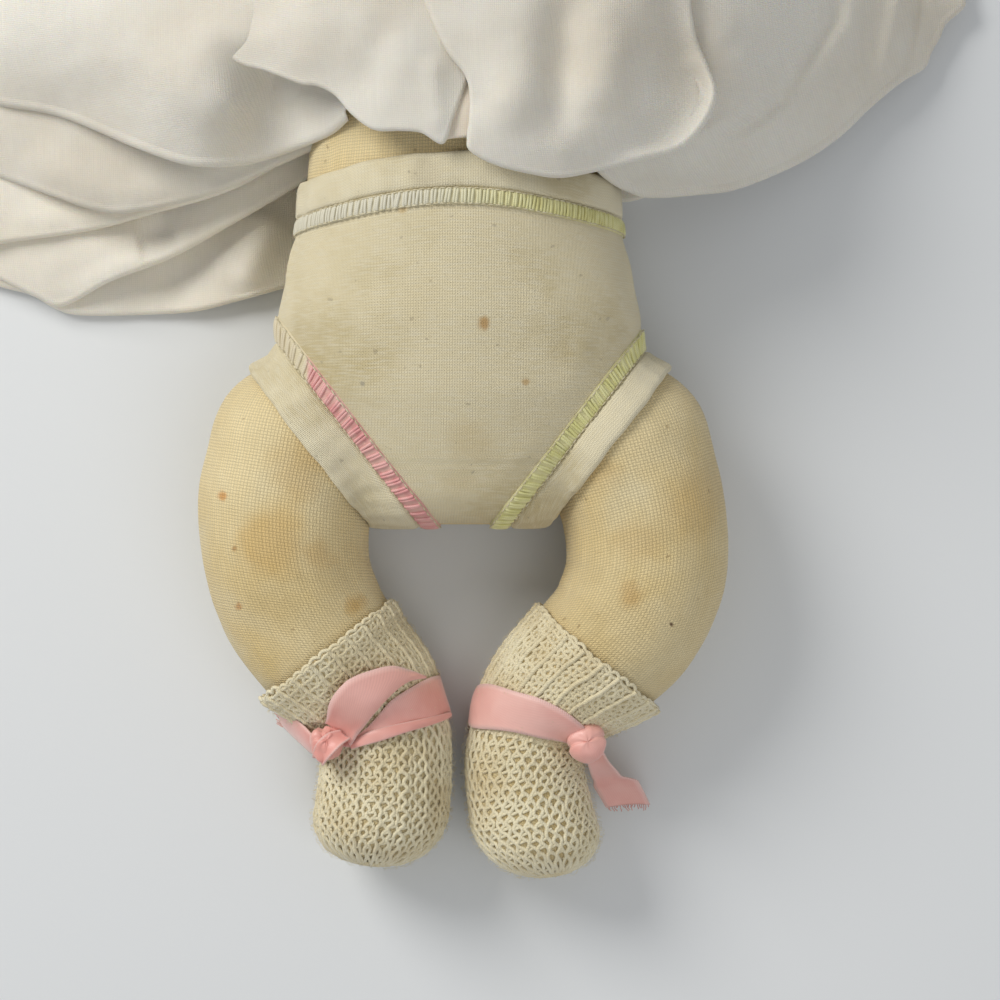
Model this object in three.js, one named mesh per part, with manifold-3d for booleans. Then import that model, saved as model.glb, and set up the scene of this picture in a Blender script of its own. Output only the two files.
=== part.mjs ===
// A porcelain-headed baby doll lying on its back: stuffed muslin body and limbs, a hollow bisque
// head with sleeping eyes, knit underpants, knit socks tied with ribbon and a pulled-up lawn gown.
// Millimetres. The doll's back is on z = 0, its head is toward +Y and its left side toward +X.
// The origin is on the flat of the underpants under the seat.

import * as THREE from 'three';
import { mergeVertices } from 'three/addons/utils/BufferGeometryUtils.js';
import Module from 'manifold-3d';

// Clearances and cloth thicknesses
const GAP = 0.3;
const MUSLIN = 0.7;
const KNIT = 0.9;
const LAWN = 0.9;
const SOCK_WALL = 1.1;
const JOINT_CLEARANCE = 0.7;

// Stuffed body: height along Y, half width, back and front height at each section
const TORSO_SECTIONS = [
  { y: -42.6, half: 12, back: 13, front: 30 },
  { y: -39.5, half: 20, back: 7, front: 36 },
  { y: -28, half: 28, back: 2.4, front: 42.5 },
  { y: -15, half: 34, back: 0.6, front: 47.5 },
  { y: 2, half: 37.5, back: 0.2, front: 51 },
  { y: 22, half: 37, back: 0.2, front: 52.5 },
  { y: 44, half: 35.5, back: 0.2, front: 52 },
  { y: 64, half: 37.5, back: 0.2, front: 53 },
  { y: 80, half: 39, back: 0.4, front: 55 },
  { y: 92, half: 35, back: 6, front: 57 },
  { y: 99, half: 26, back: 11, front: 59 },
  { y: 103, half: 18.4, back: 17.6, front: 54.4 },
  { y: 107, half: 16.2, back: 19.8, front: 52.2 },
];
const TORSO_SIDES = 16;

// Neck, flange and head
const NECK_Z = 36;
const NECK_RADIUS = 14.5;
const FLANGE_RADIUS = 19.5;
const FLANGE_Y = 97;
const FLANGE_THICKNESS = 3;
const DRAWSTRING_Y = 104.6;
const DRAWSTRING_RADIUS = 0.8;
const HEAD_CENTRE = new THREE.Vector3(0, 158.5, 44.3);
const HEAD_HALF = new THREE.Vector3(43.5, 46.5, 44.3);
const BISQUE_WALL = 3;
const JAW_TAPER = 0.12;
// Cheeks, chin, forehead and eye hollows: direction from the head's centre, width there and height
const FACE_FORMS = [
  { x: 0.36, y: -0.38, wide: 0.24, high: 2.2 },
  { x: -0.36, y: -0.38, wide: 0.24, high: 2.2 },
  { x: 0, y: -0.72, wide: 0.16, high: 2.4 },
  { x: 0, y: 0.45, wide: 0.5, high: 1.6 },
  { x: 0.36, y: -0.13, wide: 0.16, high: -2 },
  { x: -0.36, y: -0.13, wide: 0.16, high: -2 },
];
const NOSE = { half: [3.6, 5, 5], at: [0, 141.5, 86] };
const MOUTH = { half: [5.4, 2.6, 3], at: [0, 130.5, 79.8] };
const EAR = { half: [2.6, 8, 5.5], y: 146, z: 45, sunk: 0.6 };
const SOCKET_CLEARANCE = 0.8;
const HEAD_SEGMENTS = 16;
const HOLLOW_SEGMENTS = 12;

// Sleeping eyes
const EYE_X = 15.5;
const EYE_Y = 150;
const EYE_DEPTH = 6.2;
const EYE_RADIUS = 7;
const LID_WALL = 0.5;
const ROCKER_WIRE_RADIUS = 0.9;
const ROCKER_ARM = 27;
const COUNTERWEIGHT_RADIUS = 6;
const WIRE_PAST_EYE = 2;
const BEARING_X = 5.2;
const BEARING_HALF = new THREE.Vector3(1.6, 3.5, 6);
const LID_TILT = 0.35;
const LID_BELOW_MIDDLE = 1.5;
const STOP_LOW = new THREE.Vector3(-5, 112, 50);
const STOP_HIGH = new THREE.Vector3(5, 121, 62);

// Legs: path from the hip to the foot, with the radius at each station
const HIP = new THREE.Vector3(38, -27, 21);
const HIP_RADIUS = 19.5;
const HIP_RANGE = 75;
// Space that a raised leg takes, beside the hip and toward the foot
const LEG_SWEEP_REACH = 60;
const LEG_SWEEP_WIDTH = 50;
const LEG_SIDES = 12;
const LEG_STEPS = 8;
const LEFT_LEG = [
  { x: 38, y: -27, r: HIP_RADIUS },
  { x: 42.3, y: -42, r: 18.8 },
  { x: 42.6, y: -56, r: 18.4 },
  { x: 37.8, y: -67.5, r: 17.6 },
  { x: 30.6, y: -75.5, r: 16.6 },
  { x: 22.6, y: -82.2, r: 14.9 },
  { x: 16.4, y: -90.5, r: 12.8 },
  { x: 14.8, y: -101, r: 12.7 },
  { x: 16.6, y: -113, r: 13.3 },
];
const RIGHT_LEG = [
  { x: -38, y: -27, r: HIP_RADIUS },
  { x: -40.4, y: -42, r: 19.6 },
  { x: -39.2, y: -56, r: 18.9 },
  { x: -34.4, y: -67.5, r: 17.9 },
  { x: -28, y: -76, r: 16.8 },
  { x: -21, y: -83.5, r: 15 },
  { x: -17.4, y: -92, r: 13.9 },
  { x: -17.2, y: -102, r: 14.1 },
  { x: -18, y: -110, r: 14.3 },
];
const TOE_LENGTH = 13;

// Socks and ribbons, by their place along the leg path from 0 at the hip to 1 at the ball of the foot
const SOCK_TOP = { left: 0.56, right: 0.55 };
const RIBBON_AT = { left: 0.79, right: 0.77 };
const RIBBON_WIDTH = 9;
const RIBBON_WALL = 0.7;
const RIBBON_GAP = 0.5;
const KNOT_HALF = [4.2, 3.8, 3.4];
const RIBBON_KNOT = { left: new THREE.Vector3(29.6, -94, 25), right: new THREE.Vector3(-31, -90.6, 31) };
// Tails: middle of the strip, the direction across it, and its width
const RIBBON_TAIL = {
  left: [
    { at: [31, -98.4, 22], side: [1, 0.1, 0.1], width: 5.5 },
    { at: [33, -102, 14], side: [1, 0.15, 0.1], width: 7.5 },
    { at: [35.5, -105.5, 6], side: [1, 0.15, 0], width: 9 },
    { at: [37.2, -110, 0.4], side: [1, 0.05, 0], width: 9.5 },
  ],
  right: [
    { at: [-35.4, -91.6, 29.4], side: [-0.1, -1, 0], width: 5.5 },
    { at: [-38, -92.6, 22], side: [-0.1, -1, 0], width: 8 },
    { at: [-39.6, -93.8, 13], side: [-0.2, -1, 0], width: 10 },
    { at: [-41.4, -94.8, 3], side: [-0.2, -1, 0], width: 11 },
  ],
};

// Arms
const SHOULDER = new THREE.Vector3(41, 87, 25);
const SHOULDER_RADIUS = 13;
const WRIST = new THREE.Vector3(93, 127, 10.5);
const WRIST_RADIUS = 7.2;
const HAND_LENGTH = 24;
// Palm: distance from the wrist, half width and half thickness
const PALM = [[1, 5, 4.8], [5, 4.8, 4.2], [10, 7, 4.4], [15, 7.4, 4]];
const FINGER_RADIUS = 1.9;
const FINGER_ROOT = 13.5;
const FINGER_SPACING = 3.3;
const FINGER_SPREAD = 0.06;
const THUMB = { root: 8, aside: 6, length: 6, spread: 0.8 };
// Stem of the hand, which is tied into the wrist
const STEM = { sunk: 3.5, length: 5, endRadius: 4.6 };
const SLEEVE_PUFF = 2.6;
const CUFF_LENGTH = 5;
const ARM_SIDES = 10;

// Underpants: edges of the bands seen from above
const WAIST_TOP_Y = 40.8;
const WAIST_DROP = 9.5;
const WAISTBAND_WIDTH = 8.3;
const STITCH_WIDTH = 3.9;
const LEG_BAND_WIDTH = 7.4;
const LEG_EDGE_OUTER = new THREE.Vector2(48.5, -8.4);
const LEG_EDGE_INNER = new THREE.Vector2(20.6, -44.4);
// How far the bands, and the cut that frees the panel from them, run on past the edge's outer and inner ends
const LEG_BAND_PAST = [14, 2.5];
const LEG_CUT_PAST = [40, 60];
const PANEL_REACH = 120;
const WAIST_HALF = 37;
const WAIST_REACH = 60;

// Gown: the yoke with its collar
const YOKE_BOTTOM_Y = 68;
const YOKE_TOP_Y = 101;
const COLLAR_WALL = 1.6;
const COLLAR_WIDTH = 5.5;
// Skirt halves as they lie, from the doll's right to its left: x, y of the lower and of the upper edge, then the
// height of the cloth at the lower edge, at a third, at two thirds and at the upper edge
const SKIRT_BACK = [
  [-124, 14, 84, 3, 6, 8, 8], [-109, 11.2, 83.6, 3.4, 7, 9, 8], [-92, 5, 83, 3.2, 7.5, 9, 8], [-78, 4.6, 81, 3.2, 9, 9, 7],
  [-64, 5, 78, 3.6, 8, 9, 7], [-51, 7, 75, 4, 7, 7, 6], [-42, 10, 70, 3.4, 6, 5, 4], [-36, 24, YOKE_BOTTOM_Y - GAP, 2, 1.2, 1, 0.9],
  [-32, 47, YOKE_BOTTOM_Y - GAP, 0.9, 0.9, 0.9, 0.9], [0, 48, YOKE_BOTTOM_Y - GAP, 0.9, 0.9, 0.9, 0.9], [30, 46, YOKE_BOTTOM_Y - GAP, 0.9, 0.9, 0.9, 0.9],
  [34, 36, YOKE_BOTTOM_Y - GAP, 2, 1.2, 1, 0.9], [44, 30.7, 70, 3, 3.5, 4, 3], [64, 32.7, 78, 3, 4, 4, 3], [79, 40.5, 81, 3, 4, 4, 3],
  [96, 54, 83, 3, 3.5, 3.5, 3], [112, 65, 84, 2.6, 3, 3, 2.6], [121, 77, 84.6, 2.2, 2.6, 2.6, 2.2],
];
const SKIRT_FRONT = [
  [-124, 55, 83.6, 16, 15, 14, 12], [-106, 51.8, 83, 20, 22, 22, 20], [-91, 49, 82.4, 23, 27, 28, 27],
  [-75, 41.6, 79, 27, 32, 35, 35], [-63, 37.1, 77, 30, 38, 44, 42], [-50, 36.6, 72, 30, 40, 47, 48],
  [-44, 37.6, 69, 31, 32, 46, 50], [-38, 39.5, 67.4, 34, 39, 54, 56], [-28, 41.9, YOKE_BOTTOM_Y - GAP, 43, 48, 56.5, 58],
  [-22.8, 43, YOKE_BOTTOM_Y - GAP, 55, 57, 58, 59], [-16, 41, YOKE_BOTTOM_Y - GAP, 57.5, 59, 60, 60], [-7.8, 40.3, YOKE_BOTTOM_Y - GAP, 59, 60.5, 61, 61],
  [-3, 37.7, YOKE_BOTTOM_Y - GAP, 59, 61, 61.5, 61.5], [2, 37.4, YOKE_BOTTOM_Y - GAP, 60.5, 62, 63, 63], [8, 33.4, YOKE_BOTTOM_Y - GAP, 59.5, 63.5, 64.5, 64],
  [15.7, 31.4, YOKE_BOTTOM_Y - GAP, 57.5, 62, 64, 63.5], [22.2, 30.7, YOKE_BOTTOM_Y - GAP, 56, 59.5, 60.5, 61], [30, 31.8, YOKE_BOTTOM_Y - GAP, 52, 58, 61, 61],
  [37.5, 30.4, 67.4, 36, 54, 59, 58], [43, 29.4, 69, 30, 49, 56, 55], [55, 30.9, 74, 23, 41, 49, 50],
  [64.6, 32.9, 77, 18, 33, 42, 43], [79, 39.5, 80, 12, 23, 31, 33], [89, 45.8, 82, 9.5, 17, 21, 22],
  [96.5, 53.1, 83, 8, 14, 16, 16], [112.8, 64, 84, 6, 8, 9, 8], [121, 76, 84.6, 5.5, 6, 6.5, 6.5],
];
// Ridges across those heights, and valleys where high is less than 0: from one place to another, and the half width
const FRONT_FOLDS = [
  { from: [40, 36], to: [58, 52], high: 3, wide: 3.5 },
  { from: [58, 52], to: [54, 74], high: 3, wide: 3.5 },
  { from: [22, 36], to: [22, 70], high: -1.5, wide: 4 },
  { from: [68, 46], to: [76, 74], high: 2, wide: 4 },
];
// Width of the front half that is sewn to the yoke, and how far below the yoke it starts to swell
const SEAM_HALF = 34;
const GATHER_LENGTH = 7;
const FRONT_COLUMNS = 38;
const BACK_COLUMNS = 26;
const SKIRT_ROWS = 6;

// Farther than the part reaches, for cuts that take everything on one side
const FAR = 300;

const wasm = await Module();
wasm.setup();
const { Manifold, Mesh } = wasm;

const UP = new THREE.Vector3(0, 0, 1);

// Turn a closed geometry into a solid
function toSolid(geometry) {
  const bare = geometry.clone();
  bare.deleteAttribute('normal');
  bare.deleteAttribute('uv');
  const merged = mergeVertices(bare, 1e-4);
  return new Manifold(new Mesh({
    numProp: 3,
    vertProperties: new Float32Array(merged.attributes.position.array),
    triVerts: new Uint32Array(merged.index.array),
  }));
}

// Turn a solid back into a geometry
function toGeometry(solid) {
  const mesh = solid.getMesh();
  const geometry = new THREE.BufferGeometry();
  geometry.setAttribute('position', new THREE.BufferAttribute(new Float32Array(mesh.vertProperties), 3));
  geometry.setIndex(new THREE.BufferAttribute(new Uint32Array(mesh.triVerts), 1));
  geometry.computeVertexNormals();
  return geometry;
}

// A closed skin through rings with the same number of points, capped flat at both ends
function loft(rings) {
  const sides = rings[0].length;
  const points = rings.flat();
  const index = [];
  for (let i = 0; i < rings.length - 1; i++) {
    for (let j = 0; j < sides; j++) {
      const a = i * sides + j;
      const b = i * sides + (j + 1) % sides;
      index.push(a, b, b + sides, a, b + sides, a + sides);
    }
  }
  const capStart = points.length;
  const capEnd = points.length + 1;
  for (const ring of [rings[0], rings[rings.length - 1]]) {
    const centre = new THREE.Vector3();
    ring.forEach((p) => centre.add(p));
    points.push(centre.divideScalar(sides));
  }
  const last = (rings.length - 1) * sides;
  for (let j = 0; j < sides; j++) {
    const next = (j + 1) % sides;
    index.push(capStart, next, j);
    index.push(capEnd, last + j, last + next);
  }
  const geometry = new THREE.BufferGeometry().setFromPoints(points);
  geometry.setIndex(index);
  return geometry;
}

// A ring of points across a path at a point, in the plane of the side direction and up
function ringAt(centre, side, up, wide, tall, sides) {
  const ring = [];
  for (let j = 0; j < sides; j++) {
    const angle = (j + 0.5) / sides * 2 * Math.PI;
    ring.push(centre.clone()
      .addScaledVector(side, wide * Math.cos(angle))
      .addScaledVector(up, tall * Math.sin(angle)));
  }
  return ring;
}

// A box between two corners
function boxSolid(low, high) {
  const size = new THREE.Vector3().subVectors(high, low);
  const geometry = new THREE.BoxGeometry(size.x, size.y, size.z);
  const centre = new THREE.Vector3().addVectors(low, high).multiplyScalar(0.5);
  return toSolid(geometry.translate(centre.x, centre.y, centre.z));
}

// A ball, given its centre
function ball(centre, radius, segments = 12) {
  const geometry = new THREE.SphereGeometry(radius, segments, Math.round(segments * 0.7));
  return toSolid(geometry.translate(centre.x, centre.y, centre.z));
}

// Room for a ball to turn in: faceted, but nowhere nearer to the centre than the radius
function room(centre, radius) {
  const segments = 12;
  const facet = Math.cos(Math.PI / segments) * Math.cos(Math.PI / Math.round(segments * 0.7) / 2);
  return ball(centre, radius / facet, segments);
}

// An upright prism over an outline given in x and y
function prism(outline, bottom = -FAR, top = FAR) {
  const shape = new THREE.Shape(outline.map((p) => new THREE.Vector2(p.x, p.y)));
  const geometry = new THREE.ExtrudeGeometry(shape, { depth: top - bottom, bevelEnabled: false });
  return toSolid(geometry.translate(0, 0, bottom));
}

// The table side of a soft form is cut flat at a height
function cutFlat(solid, height) {
  return solid.subtract(boxSolid(new THREE.Vector3(-FAR, -FAR, -FAR), new THREE.Vector3(FAR, FAR, height)));
}

function union(solids) {
  return solids.reduce((sum, solid) => sum.add(solid));
}

// The stuffed body, grown by an amount all round
function torsoSolid(grow, endGrow = grow) {
  const count = TORSO_SECTIONS.length;
  const rings = TORSO_SECTIONS.map((section, i) => {
    let shift = 0;
    if (i === 0) shift = -grow;
    if (i === count - 1) shift = endGrow;
    const middle = (section.back + section.front) / 2;
    const tall = (section.front - section.back) / 2 + grow;
    const centre = new THREE.Vector3(0, section.y + shift, middle);
    return ringAt(centre, new THREE.Vector3(-1, 0, 0), UP, section.half + grow, tall, TORSO_SIDES);
  });
  return cutFlat(toSolid(loft(rings)), TORSO_FLAT - grow);
}
const TORSO_FLAT = KNIT + GAP;

// Rings along a leg between two shares of its path: below 0 adds the rounded hip, above 1 the rounded toe
function legRings(leg, grow, from, to) {
  const curve = legCurve(leg);
  const rings = [];
  const add = (centre, tangent, z, radius) => {
    const side = new THREE.Vector3().crossVectors(UP, tangent);
    rings.push(ringAt(new THREE.Vector3(centre.x, centre.y, z), side, UP, radius, radius, LEG_SIDES));
  };
  if (from < 0) {
    const radius = leg[0].r + grow;
    for (const share of [0.2, 0.4, 0.6, 0.8]) {
      const angle = share * Math.PI / 2;
      const centre = curve.getPoint(0).addScaledVector(curve.getTangent(0), -radius * Math.cos(angle));
      add(centre, curve.getTangent(0), HIP.z, radius * Math.sin(angle));
    }
  }
  const start = Math.max(from, 0);
  const end = Math.min(to, 1);
  const steps = Math.max(Math.round((end - start) * LEG_STEPS), 2);
  for (let i = 0; i <= steps; i++) {
    const t = THREE.MathUtils.lerp(start, end, i / steps);
    const centre = curve.getPoint(t);
    const radius = legRadius(leg, t);
    add(centre, curve.getTangent(t), legHeight(centre, radius), radius + grow);
  }
  if (to > 1) {
    const radius = leg[leg.length - 1].r;
    for (const share of [0.25, 0.5, 0.75, 0.93]) {
      const angle = share * Math.PI / 2;
      const centre = curve.getPoint(1).addScaledVector(curve.getTangent(1), (TOE_LENGTH + grow) * Math.sin(angle));
      add(centre, curve.getTangent(1), legHeight(centre, radius), (radius + grow) * Math.cos(angle));
    }
  }
  return rings;
}

// Radius at a share of the leg's path
function legRadius(leg, t) {
  const place = t * (leg.length - 1);
  const i = Math.min(Math.floor(place), leg.length - 2);
  return THREE.MathUtils.lerp(leg[i].r, leg[i + 1].r, place - i);
}

// Height of the leg's middle: at the hip its joint, further down the leg lies on the table
function legHeight(centre, r) {
  const down = THREE.MathUtils.smoothstep(-centre.y, -HIP.y, -HIP.y + 40);
  return THREE.MathUtils.lerp(HIP.z, r * Math.cos(Math.PI / LEG_SIDES) + SOCK_WALL + GAP, down);
}

function legSolid(leg, grow, from = -1, to = 2) {
  return toSolid(loft(legRings(leg, grow, from, to)));
}

function legCurve(leg) {
  return new THREE.CatmullRomCurve3(leg.map((s) => new THREE.Vector3(s.x, s.y, 0)), false, 'centripetal');
}

// A layer round the leg between two shares of its path, given its inner and outer growth
function legLayer(leg, inner, outer, from, to) {
  const past = 0.03;
  return legSolid(leg, outer, from, to).subtract(legSolid(leg, inner, from - past, to + past));
}

const group = new THREE.Group();

const COLOURS = {
  bisque: [0xe8c6ae, 0.55],
  glass: [0x3f5f86, 0.08],
  wax: [0xe2b8a0, 0.5],
  wire: [0x77736c, 0.45],
  lead: [0x6d6e70, 0.6],
  plaster: [0xe9e4d8, 0.9],
  cork: [0xa97c50, 0.9],
  thread: [0xddd0ad, 0.9],
  muslin: [0xd2bd8c, 0.95],
  stuffing: [0xe9e2cf, 1.0],
  jersey: [0xcdc19b, 0.95],
  yellow_stitch: [0xcfc67e, 0.9],
  pink_stitch: [0xdca89f, 0.9],
  sock_knit: [0xc7b98f, 0.95],
  ribbon: [0xe4a99c, 0.35],
  lawn: [0xd7d1c6, 0.95],
};

// Name a solid, give it its colour and add it to the doll
function addPiece(name, slot, solid) {
  const [color, roughness] = COLOURS[slot];
  const metalness = slot === 'wire' || slot === 'lead' ? 0.8 : 0;
  const mesh = new THREE.Mesh(toGeometry(solid), new THREE.MeshStandardMaterial({ color, roughness, metalness }));
  mesh.name = name;
  group.add(mesh);
}

const SIDES = [
  { name: 'left', sign: 1, leg: LEFT_LEG },
  { name: 'right', sign: -1, leg: RIGHT_LEG },
];

function mirrored(v, sign) {
  return new THREE.Vector3(v.x * sign, v.y, v.z);
}

function mirroredSolid(solid, sign) {
  return sign > 0 ? solid : solid.mirror([1, 0, 0]);
}

// The space that a leg sweeps as it flexes: an arc about the hip, open toward the foot and the front
function legSweep(extra) {
  const radius = HIP_RADIUS + JOINT_CLEARANCE + extra;
  const reach = LEG_SWEEP_REACH;
  const raised = THREE.MathUtils.degToRad(HIP_RANGE);
  const shape = new THREE.Shape();
  shape.absarc(HIP.y, HIP.z, radius, -Math.PI / 2, Math.PI / 2 - raised, false);
  const tangent = new THREE.Vector2(HIP.y + radius * Math.sin(raised), HIP.z + radius * Math.cos(raised));
  shape.lineTo(tangent.x - reach * Math.cos(raised), tangent.y + reach * Math.sin(raised));
  shape.lineTo(HIP.y - reach, HIP.z + reach);
  shape.lineTo(HIP.y - reach, HIP.z - radius);
  const inner = HIP.x - radius;
  const geometry = new THREE.ExtrudeGeometry(shape, { depth: LEG_SWEEP_WIDTH, bevelEnabled: false, curveSegments: 6 });
  // The outline is drawn in y and z, and runs along x
  geometry.applyMatrix4(new THREE.Matrix4().set(0, 0, 1, inner, 1, 0, 0, 0, 0, 1, 0, 0, 0, 0, 0, 1));
  return toSolid(geometry);
}

// Everything at the hips and shoulders that the torso and the clothes on it keep clear of
function limbClearance(extra) {
  const hip = room(HIP, HIP_RADIUS + JOINT_CLEARANCE + extra).add(legSweep(extra));
  const shoulder = room(SHOULDER, SHOULDER_RADIUS + LAWN + GAP + JOINT_CLEARANCE + extra);
  const one = hip.add(shoulder);
  return one.add(mirroredSolid(one, -1));
}

function upTo(y) {
  return boxSolid(new THREE.Vector3(-FAR, -FAR, -FAR), new THREE.Vector3(FAR, y, FAR));
}

// Body cover, open at the neck and closed round the flange, and the stuffing in it
function buildTorso() {
  const neckBore = toSolid(new THREE.CylinderGeometry(NECK_RADIUS + GAP, NECK_RADIUS + GAP, 20, 20))
    .translate([0, YOKE_TOP_Y + 2, NECK_Z]);
  const cavity = torsoSolid(-MUSLIN, 0).subtract(limbClearance(MUSLIN));
  const cover = torsoSolid(0).subtract(limbClearance(0)).subtract(cavity).subtract(neckBore);
  addPiece('torso_cover', 'muslin', cover);
  const stuffing = torsoSolid(-MUSLIN - GAP, 0).subtract(limbClearance(MUSLIN + GAP));
  addPiece('torso_stuffing', 'stuffing', stuffing.intersect(upTo(FLANGE_Y - GAP)));
  const seat = torsoAt(DRAWSTRING_Y - DRAWSTRING_RADIUS).half;
  const ring = new THREE.TorusGeometry(seat + GAP + DRAWSTRING_RADIUS, DRAWSTRING_RADIUS, 5, 20);
  ring.rotateX(Math.PI / 2);
  addPiece('neck_drawstring', 'thread', toSolid(ring).translate([0, DRAWSTRING_Y, NECK_Z]));
}

// One leg: a muslin cover gathered open at the hip, and its stuffing
function buildLeg(side) {
  const outer = legSolid(side.leg, 0);
  const inner = legSolid(side.leg, -MUSLIN);
  const hip = mirrored(HIP, side.sign);
  const mouth = toSolid(new THREE.CylinderGeometry(5, 5, 12, 10)).translate([hip.x, hip.y + HIP_RADIUS, hip.z]);
  addPiece(`${side.name}_leg_cover`, 'muslin', cutFlat(outer.subtract(inner).subtract(mouth), 0));
  addPiece(`${side.name}_leg_stuffing`, 'stuffing', legSolid(side.leg, -MUSLIN - GAP));
}

// Sock, from its ribbed top to the toe
function buildSock(side) {
  const outer = legSolid(side.leg, GAP + SOCK_WALL, SOCK_TOP[side.name]);
  const sock = outer.subtract(legSolid(side.leg, GAP));
  addPiece(`${side.name}_sock`, 'sock_knit', cutFlat(sock, 0));
}

// Ribbon round the ankle, its knot on the outer side and its loose tail down to the table
function buildRibbon(side) {
  const at = RIBBON_AT[side.name];
  const half = RIBBON_WIDTH / 2 / legCurve(side.leg).getLength();
  const inner = GAP + SOCK_WALL + RIBBON_GAP;
  const band = legLayer(side.leg, inner, inner + RIBBON_WALL, at - half, at + half);
  addPiece(`${side.name}_ribbon_band`, 'ribbon', cutFlat(band, 0));
  const bandOuter = legSolid(side.leg, inner + RIBBON_WALL + GAP);
  const knotPlace = RIBBON_KNOT[side.name];
  const knot = ball(new THREE.Vector3(), 1, 8).scale(KNOT_HALF).translate(knotPlace.toArray());
  addPiece(`${side.name}_ribbon_knot`, 'ribbon', knot.subtract(bandOuter));
  const tail = toSolid(loft(tailRings(RIBBON_TAIL[side.name])));
  addPiece(`${side.name}_ribbon_tail`, 'ribbon', cutFlat(tail.subtract(bandOuter), 0));
}

// Flat strip along hand-placed points, each with its middle, its side direction and its width
function tailRings(points) {
  const middles = points.map(({ at }) => new THREE.Vector3(...at));
  return points.map(({ side, width }, i) => {
    const across = new THREE.Vector3(...side).normalize();
    const onward = middles[Math.min(i + 1, points.length - 1)].clone().sub(middles[Math.max(i - 1, 0)]);
    const thick = onward.cross(across).setLength(RIBBON_WALL);
    const a = middles[i].clone().addScaledVector(across, -width / 2);
    const b = middles[i].clone().addScaledVector(across, width / 2);
    return [b.clone(), b.clone().add(thick), a.clone().add(thick), a.clone()];
  });
}

// Arm path: a stuffed tube from the shoulder to the wrist
const ARM_DIRECTION = new THREE.Vector3().subVectors(WRIST, SHOULDER).normalize();
const ARM_LENGTH = WRIST.distanceTo(SHOULDER);

function armSolid(grow, from = -1, to = ARM_LENGTH, puff = 0) {
  const side = new THREE.Vector3().crossVectors(UP, ARM_DIRECTION).normalize();
  const up = new THREE.Vector3().crossVectors(ARM_DIRECTION, side);
  const rings = [];
  if (from < 0) {
    const radius = SHOULDER_RADIUS + grow;
    for (const share of [0.25, 0.5, 0.75]) {
      const angle = share * Math.PI / 2;
      const centre = SHOULDER.clone().addScaledVector(ARM_DIRECTION, -radius * Math.cos(angle));
      rings.push(ringAt(centre, side, up, radius * Math.sin(angle), radius * Math.sin(angle), ARM_SIDES));
    }
  }
  const start = Math.max(from, 0);
  for (let i = 0; i <= 5; i++) {
    const along = THREE.MathUtils.lerp(start, to, i / 5);
    const share = along / ARM_LENGTH;
    const swell = puff * Math.sin(Math.PI * THREE.MathUtils.clamp(share, 0, 1));
    const radius = THREE.MathUtils.lerp(SHOULDER_RADIUS, WRIST_RADIUS, share) + grow + swell;
    rings.push(ringAt(SHOULDER.clone().addScaledVector(ARM_DIRECTION, along), side, up, radius, radius, ARM_SIDES));
  }
  return toSolid(loft(rings));
}

// One arm: cover, stuffing, porcelain hand tied in at the wrist, sleeve and cuff
function buildArm(side) {
  const put = (name, slot, solid) => addPiece(`${side.name}_${name}`, slot, mirroredSolid(solid, side.sign));
  const along = (distance) => SHOULDER.clone().addScaledVector(ARM_DIRECTION, distance);
  put('arm_cover', 'muslin', armSolid(0).subtract(armSolid(-MUSLIN, -1, ARM_LENGTH + 1)));
  const wristSpace = ball(along(ARM_LENGTH), WRIST_RADIUS);
  put('arm_stuffing', 'stuffing', armSolid(-MUSLIN - GAP).subtract(wristSpace));
  put('hand', 'bisque', handSolid());
  const sleeveEnd = ARM_LENGTH - CUFF_LENGTH - GAP;
  const sleeve = armSolid(GAP + LAWN, -1, sleeveEnd, SLEEVE_PUFF).subtract(armSolid(GAP, -1, ARM_LENGTH + 2, SLEEVE_PUFF));
  put('sleeve', 'lawn', cutFlat(sleeve.subtract(ball(along(-SHOULDER_RADIUS), 6, 10)), 0));
  const cuff = armSolid(GAP + LAWN, ARM_LENGTH - CUFF_LENGTH, ARM_LENGTH).subtract(armSolid(GAP, 0, ARM_LENGTH + 2));
  put('sleeve_cuff', 'lawn', cutFlat(cuff, 0));
}

// Small mitten of a hand with four short fingers and a thumb
function handSolid() {
  const ahead = new THREE.Vector3(ARM_DIRECTION.x, ARM_DIRECTION.y, 0).normalize();
  const side = new THREE.Vector3().crossVectors(UP, ahead);
  const start = WRIST.clone().addScaledVector(ahead, 1);
  const place = (along, aside) => start.clone().addScaledVector(ahead, along).addScaledVector(side, aside);
  const palm = toSolid(loft(PALM.map(([along, wide, tall]) => ringAt(place(along, 0), side, UP, wide, tall, 10))));
  const fingers = [-1.5, -0.5, 0.5, 1.5].map((share) => {
    const length = HAND_LENGTH - FINGER_ROOT - FINGER_RADIUS - GAP * 2 - Math.abs(share);
    const direction = ahead.clone().addScaledVector(side, share * FINGER_SPREAD);
    return finger(place(FINGER_ROOT, share * FINGER_SPACING), direction, length);
  });
  const thumbDirection = ahead.clone().addScaledVector(side, -THUMB.spread);
  fingers.push(finger(place(THUMB.root, -THUMB.aside), thumbDirection, THUMB.length));
  const up = new THREE.Vector3().crossVectors(ARM_DIRECTION, side);
  const radius = WRIST_RADIUS - MUSLIN - 2 * GAP;
  const tiedEnd = toSolid(loft([[0, radius], [0.5, radius], [1, STEM.endRadius]].map(([share, wide]) => {
    const centre = WRIST.clone().addScaledVector(ARM_DIRECTION, share * STEM.length - STEM.sunk);
    return ringAt(centre, side, up, wide, wide, 10);
  })));
  return union([palm, tiedEnd, ...fingers]);
}

function finger(root, direction, length) {
  const capsule = new THREE.CapsuleGeometry(FINGER_RADIUS, length, 1, 6);
  const turn = new THREE.Quaternion().setFromUnitVectors(new THREE.Vector3(0, 1, 0), direction.clone().normalize());
  capsule.translate(0, length / 2, 0).applyQuaternion(turn);
  return toSolid(capsule.translate(root.x, root.y, root.z));
}

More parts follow.
